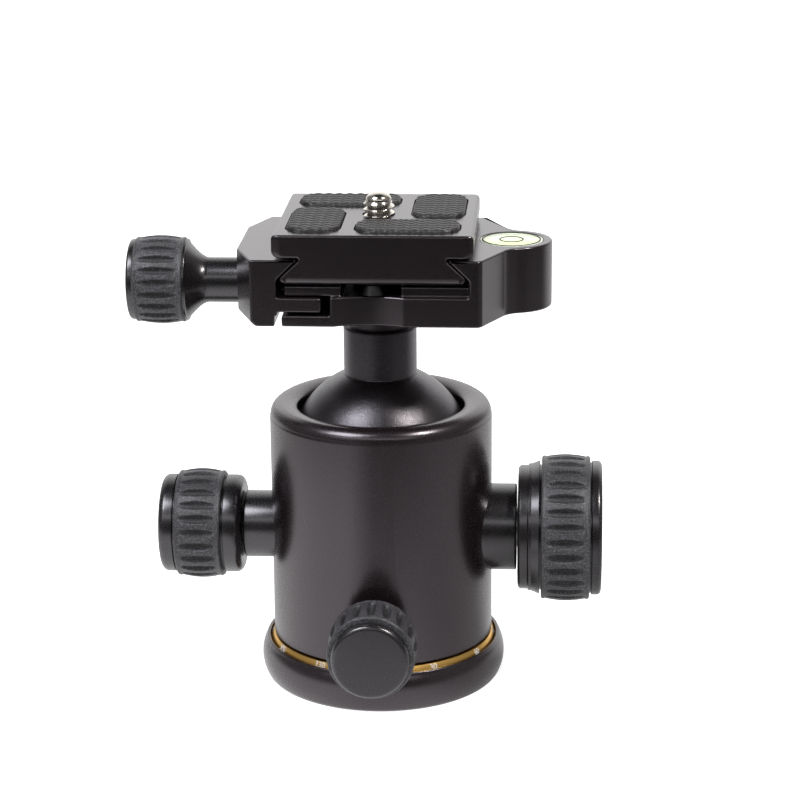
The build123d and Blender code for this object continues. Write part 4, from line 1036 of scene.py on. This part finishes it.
@dataclass
class QuickPlate:
    """Dovetail plate, its four ribbed pads and the camera screw.

    Pads are given by their centre and whether their long side runs along Y.
    """

    slab_top: float = 94.3
    half: float = 19.0
    pad_size: tuple[float, float] = (20.2, 10.6)
    pad_corner: float = 3.8
    pad_gap: float = 0.3
    pad_cell: float = 0.13
    pad_fall: float = 0.3
    pad_foot: float = 0.4
    zigzag_length: float = 2.1
    zigzag_share: float = 0.2
    ridge_pitch: float = 1.95
    ridge_share: float = 0.34
    pad_top: float = 95.0
    pocket_z: float = 93.7
    spots: tuple[tuple[str, float, float, bool], ...] = (
        ("front", 6.3, -11.6, False), ("right", 11.6, 6.3, True), ("back", -6.3, 11.6, False),
        ("left", -11.6, -6.3, True),
    )
    slab_bottom: float = 89.86
    foot: float = 84.5
    dovetail_half: float = 17.5
    neck_half: float = 14.0
    corner: float = 1.8
    end_round: float = 0.5
    foot_round: float = 1.2
    foot_round_z: tuple[float, float] = (84.5, 85.8)
    rows: tuple[float, ...] = (6.0, 12.0)
    head_hole: tuple[float, float] = (6.9, 87.9)
    shank_hole_r: float = 3.2
    stop_hole: tuple[float, float] = (1.5, 87.5)
    stop_y: float = 16.4
    thread_r: float = 3.06
    thread_depth: float = 0.74
    thread_runout: float = 0.7
    thread_start: float = 93.4
    pitch: float = 1.27
    thread_end: float = 97.0
    dome_r: float = 2.5
    screw_top: float = 98.7

    def outline(self) -> np.ndarray:
        """Front view of the plate, right half from the foot up, then its mirror image."""
        right = rounded(
            [(0, self.foot), (self.dovetail_half, self.foot), (self.dovetail_half, self.foot + 1.6),
             (self.neck_half, self.slab_bottom - 0.5), (self.neck_half, self.slab_bottom),
             (self.half, self.slab_bottom), (self.half, self.slab_top), (0, self.slab_top)],
            [0, 0.9, 0.8, 0.2, 0.25, 1.4, 0.9, 0], 6,
        )
        return np.concatenate([right[:-1], (right * [-1, 1])[:0:-1]])

    def slab(self) -> Piece:
        """Front view carried along Y, its ends rounded over, then pocketed.

        At a distance t from an end the outline is set in by r - sqrt(r^2 - (r - t)^2), where r grows
        from the slab's edge to the foot, and the slab's width shrinks by its plan corner's arc.
        """
        front = self.outline()
        n = len(front)
        ahead, behind = np.roll(front, -1, 0) - front, front - np.roll(front, 1, 0)
        sides = [np.stack([-d[:, 1], d[:, 0]], 1) / np.linalg.norm(d, axis=1)[:, None] for d in (ahead, behind)]
        inward = (sides[0] + sides[1]) / (1 + np.sum(sides[0] * sides[1], 1))[:, None]
        low, high = self.foot_round_z
        edge = self.end_round + self.foot_round * np.clip((high - front[:, 1]) / (high - low), 0, 1)
        width = np.clip((np.abs(front[:, 0]) - self.neck_half) / 5, 0, 1) * (front[:, 1] > self.slab_bottom - 0.1)
        ends = self.corner * (1 - np.cos(np.linspace(0, pi / 2, 15)))
        first = np.concatenate([ends, self.rows])
        depth = np.concatenate([first, [self.half], 2 * self.half - first[::-1]])
        near = np.minimum(depth, 2 * self.half - depth)[:, None]
        over = np.clip(edge - near, 0, None)
        inset = edge - np.sqrt(edge**2 - over**2)
        plan = self.corner - np.sqrt(self.corner**2 - np.clip(self.corner - near, 0, None) ** 2)
        x = front[:, 0] + inward[:, 0] * inset
        x = x - np.sign(x) * np.clip(plan - self.end_round, 0, None) * width
        z = front[:, 1] + inward[:, 1] * inset
        y = np.repeat(depth[:, None] - self.half, n, 1)
        faces = grid_faces(len(depth), n, True).tolist()
        faces += [list(range(n))[::-1], list(range((len(depth) - 1) * n, len(depth) * n))]
        piece = link("dovetail_plate", np.stack([x, y, z], -1).reshape(-1, 3) * MM, faces)
        tidy(piece)
        below, above, (head_r, head_z), (stop_r, stop_z) = 80, 99, self.head_hole, self.stop_hole
        tools = [hole([(0, below), (head_r, below), (head_r, head_z), (self.shank_hole_r, head_z),
                       (self.shank_hole_r, above), (0, above)])]
        tools += [self.pocket(x, y, turned, above) for _, x, y, turned in self.spots]
        tools += [hole([(0, below), (stop_r, below), (stop_r, stop_z), (0, stop_z)], Seat(y=y), 32)
                  for y in (-self.stop_y, self.stop_y)]
        cut(piece, tools)
        sharpen(piece, 40)
        flat_faces(piece)
        return piece

    def pocket(self, x: float, y: float, turned: bool, top: float) -> Piece:
        """Cutter for a pad's pocket: a rounded rectangle, 0.05 mm larger all round than the pad."""
        corner = self.pad_corner + 0.05
        length, width = self.pad_size[::-1] if turned else self.pad_size
        across, along = (length + 0.1) / 2 - corner, (width + 0.1) / 2 - corner
        corners = ((across, along), (-across, along), (-across, -along), (across, -along))
        plan = [arc(centre, corner, 90 * i, 90 * i + 90, 10) for i, centre in enumerate(corners)]
        return prism("pocket", np.concatenate(plan) + (x, y), self.pocket_z, top)

    def pad(self, name: str, centre: tuple[float, float], turned: bool) -> Piece:
        """Pad top as a height field: zigzag ridges h(x, y) that fall off to the rounded outline.

        Args:
            name: Name of the piece.
            centre: Centre of the pad in millimetres.
            turned: Whether its long side runs along Y.

        Returns:
            The piece.
        """
        length, width = self.pad_size[::-1] if turned else self.pad_size
        length, width = length - self.pad_gap, width - self.pad_gap
        nx, ny = int(length / self.pad_cell), int(width / self.pad_cell)
        u, v = np.meshgrid(np.linspace(-1, 1, nx), np.linspace(-1, 1, ny), indexing="ij")
        corner = self.pad_corner
        x, y = u * length / 2, v * width / 2
        ex = np.maximum(np.abs(x) - (length / 2 - corner), 0)
        ey = np.maximum(np.abs(y) - (width / 2 - corner), 0)
        over = np.hypot(ex, ey)
        pull = np.where(over > corner, corner / np.maximum(over, 1e-6), 1.0)
        x = np.sign(x) * (np.minimum(np.abs(x), length / 2 - corner) + ex * pull)
        y = np.sign(y) * (np.minimum(np.abs(y), width / 2 - corner) + ey * pull)
        inside = corner - np.minimum(np.hypot(ex, ey), corner)
        inside = np.minimum(inside, np.minimum(length / 2 - np.abs(x), width / 2 - np.abs(y)))
        fall = np.clip(inside / self.pad_fall, 0, 1)
        wave = np.sin(2 * pi * (x + centre[0]) / self.zigzag_length)
        ridge = np.abs(np.cos(pi * ((y + centre[1]) / self.ridge_pitch + self.zigzag_share * wave))) ** 0.6
        rise = self.pad_top - self.slab_top + self.pad_foot - 0.02
        z = self.slab_top - self.pad_foot + rise * np.sqrt(fall) * (1 - self.ridge_share + self.ridge_share * ridge)
        top = np.stack([x + centre[0], y + centre[1], z], -1).reshape(-1, 3)
        return link(name, top * MM, grid_faces(nx, ny, False))

    def screw(self) -> Piece:
        """Thread r(t, z) = R - depth * tooth(z / pitch - t / 2 pi), run out at the domed end."""
        z = np.linspace(self.thread_start, self.thread_end, 100)
        thread = np.stack([np.full(len(z), self.thread_r), z], 1)
        across = np.sin(np.linspace(pi / 2, 0.02, 20))
        rise = self.screw_top - self.thread_end - 0.15
        dome = np.stack([self.dome_r * across, self.screw_top - rise * (1 - np.sqrt(1 - across**2.4))], 1)
        profile = np.concatenate([[(0, self.thread_start)], thread, dome, [(0, self.screw_top)]])

        def tooth(radius: np.ndarray, angle: np.ndarray, height: np.ndarray) -> np.ndarray:
            """Change of radius of the thread at each point."""
            phase = (height / self.pitch - angle / (2 * pi)) % 1.0
            wave = np.clip(np.abs(phase - 0.5) * 2 * 1.25 - 0.12, 0, 1)
            last = np.clip((height - self.thread_end) / self.thread_runout + 1, 0, 1)
            last = last * (self.thread_r - self.dome_r)
            return np.where(height < self.thread_end + 0.01, -np.maximum(self.thread_depth * wave, last), 0)

        return lathe("camera_thread", profile, Seat(), 120, tooth, edge=50.0)

    def build(self) -> None:
        """Build and dress the plate."""
        dress(self.slab(), "satin_black_anodise", "plate", "quick_plate", finish="milled")
        for side, x, y, turned in self.spots:
            dress(self.pad(f"ribbed_pad_{side}", (x, y), turned), "pad_rubber", "plate", f"plate_pad_{side}")
        dress(self.screw(), "bright_steel", "camera_bolt", "camera_screw")


# ------------------------------------------------------------------ studio
@dataclass(frozen=True)
class SoftBox:
    """Rectangular lamp that looks at a point: power = radiance * pi * area.

    Azimuth is 0 at the front and positive to the right. Angles are in degrees, lengths in metres.
    """

    name: str
    azimuth: float
    elevation: float
    distance: float
    size: tuple[float, float]
    radiance: float
    colour: Vec3 = (1.0, 1.0, 1.0)

    def build(self, target: Vec3) -> None:
        """Build the lamp."""
        a, e, (width, height) = radians(self.azimuth), radians(self.elevation), self.size
        back = Vector((sin(a) * cos(e), -cos(a) * cos(e), sin(e)))
        data = bpy.data.lights.new(self.name, "AREA")
        data.shape, data.size, data.size_y = "RECTANGLE", width, height
        data.energy, data.color = self.radiance * pi * width * height, self.colour
        lamp = put(self.name, data)
        lamp.location = Vector(target) + back * self.distance
        lamp.rotation_euler = back.to_track_quat("Z", "Y").to_euler()


@dataclass(frozen=True)
class Fade:
    """Floor light level * exp(-(d - flat) / reach) beyond the flat distance, in metres."""

    level: float
    reach: float
    flat: float

    def socket(self, tree: Tree, far: Feed) -> Socket:
        """The level at a distance."""
        beyond = maths(tree, "MAXIMUM", maths(tree, "SUBTRACT", far, self.flat), 0.0)
        power = maths(tree, "EXPONENT", maths(tree, "MULTIPLY", beyond, -1.0 / self.reach))
        return maths(tree, "MULTIPLY", power, self.level)


@dataclass
class Studio:
    """Camera, white surroundings and the soft boxes."""

    focal_px: float = 2494.0
    frame_px: float = 800.0
    sensor_mm: float = 36.0
    clip: tuple[float, float] = (0.01, 50.0)
    elevation: float = 16.79
    azimuth: float = 3.7
    roll: float = -0.5
    distance: float = 0.4967
    target: Vec3 = (0.0, 0.0, 0.046)
    target_px: tuple[float, float] = (381.4, 451.3)
    front_level: float = 0.03
    side_level: float = 0.2
    back_level: float = 1.0
    ceiling_level: float = 0.02
    ambient: float = 0.38
    front_fade: Fade = Fade(1.0, 0.125, 0.03)
    left_fade: Fade = Fade(1.2, 0.16, 0.14)
    right_fade: Fade = Fade(0.55, 0.25, 0.14)
    floor_half: float = 4.0
    floor_z: float = -2e-5
    floor_white: float = 0.9
    floor_lift: float = 0.8
    lamps: tuple[SoftBox, ...] = (
        SoftBox("left_box", -47, 54, 0.75, (0.34, 0.32), 11.0, (0.92, 0.95, 1.0)),
        SoftBox("front_box", -6, 30, 0.9, (1.5, 0.15), 1.7),
        SoftBox("right_box", 63, 52, 0.8, (0.08, 0.12), 130.0, (1.0, 0.98, 0.94)),
        SoftBox("back_box", 178, 24, 1.0, (1.3, 0.5), 0.45),
    )

    def camera(self) -> None:
        """Camera whose axis misses the ball by the given offset in the frame."""
        a, e, roll = radians(self.azimuth), radians(self.elevation), radians(self.roll)
        forward = np.array([-sin(a) * cos(e), cos(a) * cos(e), -sin(e)])
        right = np.array([cos(a), sin(a), 0.0])
        up = np.cross(right, forward)
        right, up = cos(roll) * right + sin(roll) * up, -sin(roll) * right + cos(roll) * up
        centre = self.frame_px / 2
        u, v = (self.target_px[0] - centre) / self.focal_px, (self.target_px[1] - centre) / self.focal_px
        position = np.array(self.target) - (forward + u * right - v * up) * self.distance
        data = bpy.data.cameras.new("camera")
        data.sensor_width, data.lens = self.sensor_mm, self.focal_px / self.frame_px * self.sensor_mm
        data.clip_start, data.clip_end = self.clip
        eye = put("camera", data)
        matrix = Matrix.Identity(4)
        for row in range(3):
            matrix[row][0], matrix[row][1] = right[row], up[row]
            matrix[row][2], matrix[row][3] = -forward[row], position[row]
        eye.matrix_world = matrix
        bpy.context.scene.camera = eye

    @staticmethod
    def step(tree: Tree, value: Feed, low: float, high: float) -> Socket:
        """Smooth step of a socket between two values."""
        inputs = {"Value": value, "From Min": low, "From Max": high}
        return add(tree, "MapRange", inputs, interpolation_type="SMOOTHSTEP").outputs["Result"]

    def room(self, tree: Tree, space: str, least: float = 0.0) -> tuple:
        """Weights of the left and right of the room at a direction or a place.

        Args:
            tree: Node tree.
            space: Output of the Texture Coordinate node.
            least: Smallest distance that is divided by.

        Returns:
            Sockets of the left, the right, the part to the back, the height and the distance.
        """
        place = add(tree, "TexCoord", {}).outputs[space]
        x, y, z = add(tree, "SeparateXYZ", {"Vector": place}).outputs
        far = maths(tree, "SQRT", maths(tree, "ADD", maths(tree, "MULTIPLY", x, x), maths(tree, "MULTIPLY", y, y)))
        if least:
            far = maths(tree, "MAXIMUM", far, least)
        aside, behind = maths(tree, "DIVIDE", x, far), maths(tree, "DIVIDE", y, far)
        left = self.step(tree, maths(tree, "MULTIPLY", aside, -1.0), 0.05, 0.5)
        return left, self.step(tree, aside, 0.35, 0.95), behind, z, far

    def world(self) -> None:
        """White for the camera; in reflections a dark front and ceiling and bright sides and back."""
        world = bpy.data.worlds.new("surroundings")
        bpy.context.scene.world = world
        world.use_nodes = True
        tree = world.node_tree
        left, right, behind, z, _ = self.room(tree, "Generated")
        value = mix(tree, left, self.front_level, self.side_level, "FLOAT")
        value = mix(tree, right, value, self.side_level, "FLOAT")
        value = mix(tree, self.step(tree, behind, 0.5, 0.9), value, self.back_level, "FLOAT")
        value = mix(tree, self.step(tree, z, 0.7, 0.92), value, self.ceiling_level, "FLOAT")
        path = add(tree, "LightPath", {}).outputs
        diffuse = mix(tree, path["Is Glossy Ray"], self.ambient, value, "FLOAT")
        shown = maths(tree, "MAXIMUM", path["Is Camera Ray"], path["Is Transmission Ray"])
        background = tree.nodes["Background"].inputs
        background["Color"].default_value = rgba((1.0, 1.0, 1.0))
        join(tree, mix(tree, shown, diffuse, 1.0, "FLOAT"), background["Strength"])

    def floor(self) -> None:
        """Pale sweep that holds the shadow and is graded where it is mirrored in the metal."""
        half, z = self.floor_half, self.floor_z
        corners = np.array([(-half, -half, z), (half, -half, z), (half, half, z), (-half, half, z)])
        piece = link("floor", corners, [(0, 1, 2, 3)], smooth=False)
        material = bpy.data.materials.new("floor_white")
        material.use_nodes = True
        tree = material.node_tree
        tree.nodes.remove(tree.nodes["Principled BSDF"])
        left, right, behind, _, far = self.room(tree, "Object", 0.001)
        fades = [fade.socket(tree, far) for fade in (self.front_fade, self.left_fade, self.right_fade)]
        value = mix(tree, left, fades[0], fades[1], "FLOAT")
        value = mix(tree, right, value, fades[2], "FLOAT")
        value = mix(tree, self.step(tree, behind, 0.1, 0.6), value, self.back_level, "FLOAT")
        path = add(tree, "LightPath", {}).outputs
        mirrored = add(tree, "Emission", {"Strength": value}).outputs[0]
        white = add(tree, "BsdfDiffuse", {"Color": rgba((1.0, 1.0, 1.0), self.floor_white)}).outputs[0]
        lift = maths(tree, "MULTIPLY", path["Is Camera Ray"], self.floor_lift)
        lifted = add(tree, "Emission", {"Strength": lift}).outputs[0]
        shown = add(tree, "AddShader", {0: white, 1: lifted}).outputs[0]
        surface = add(tree, "MixShader", {0: path["Is Glossy Ray"], 1: shown, 2: mirrored}).outputs[0]
        join(tree, surface, tree.nodes["Material Output"].inputs["Surface"])
        piece.data.materials.append(material)

    def build(self) -> None:
        """Set up the light and the camera."""
        bpy.context.scene.view_settings.view_transform = "Standard"
        self.world()
        self.floor()
        for lamp in self.lamps:
            lamp.build(self.target)
        self.camera()


# ------------------------------------------------------------------ the rest of the frame's nodes
def dress_nodes() -> None:
    """Give every CAD node the finish of its record slot."""
    for part in frame["record"]["subparts"]:
        node = frame["nodes"][part["node"]]
        node.data.materials.clear()
        node.data.materials.append(FINISHES[BY_SLOT[part["material_slot"]]])


def main() -> None:
    """Build every piece, the light and the camera."""
    logging.basicConfig(level=logging.INFO, format="%(message)s")
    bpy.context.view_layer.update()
    build_finishes()
    dress_nodes()
    PanningBase().build()
    Housing().build()
    BallStem().build()
    for knob in KNOBS:
        knob.build()
    Clamp().build()
    QuickPlate().build()
    Studio().build()


if __name__ == "__main__":
    main()
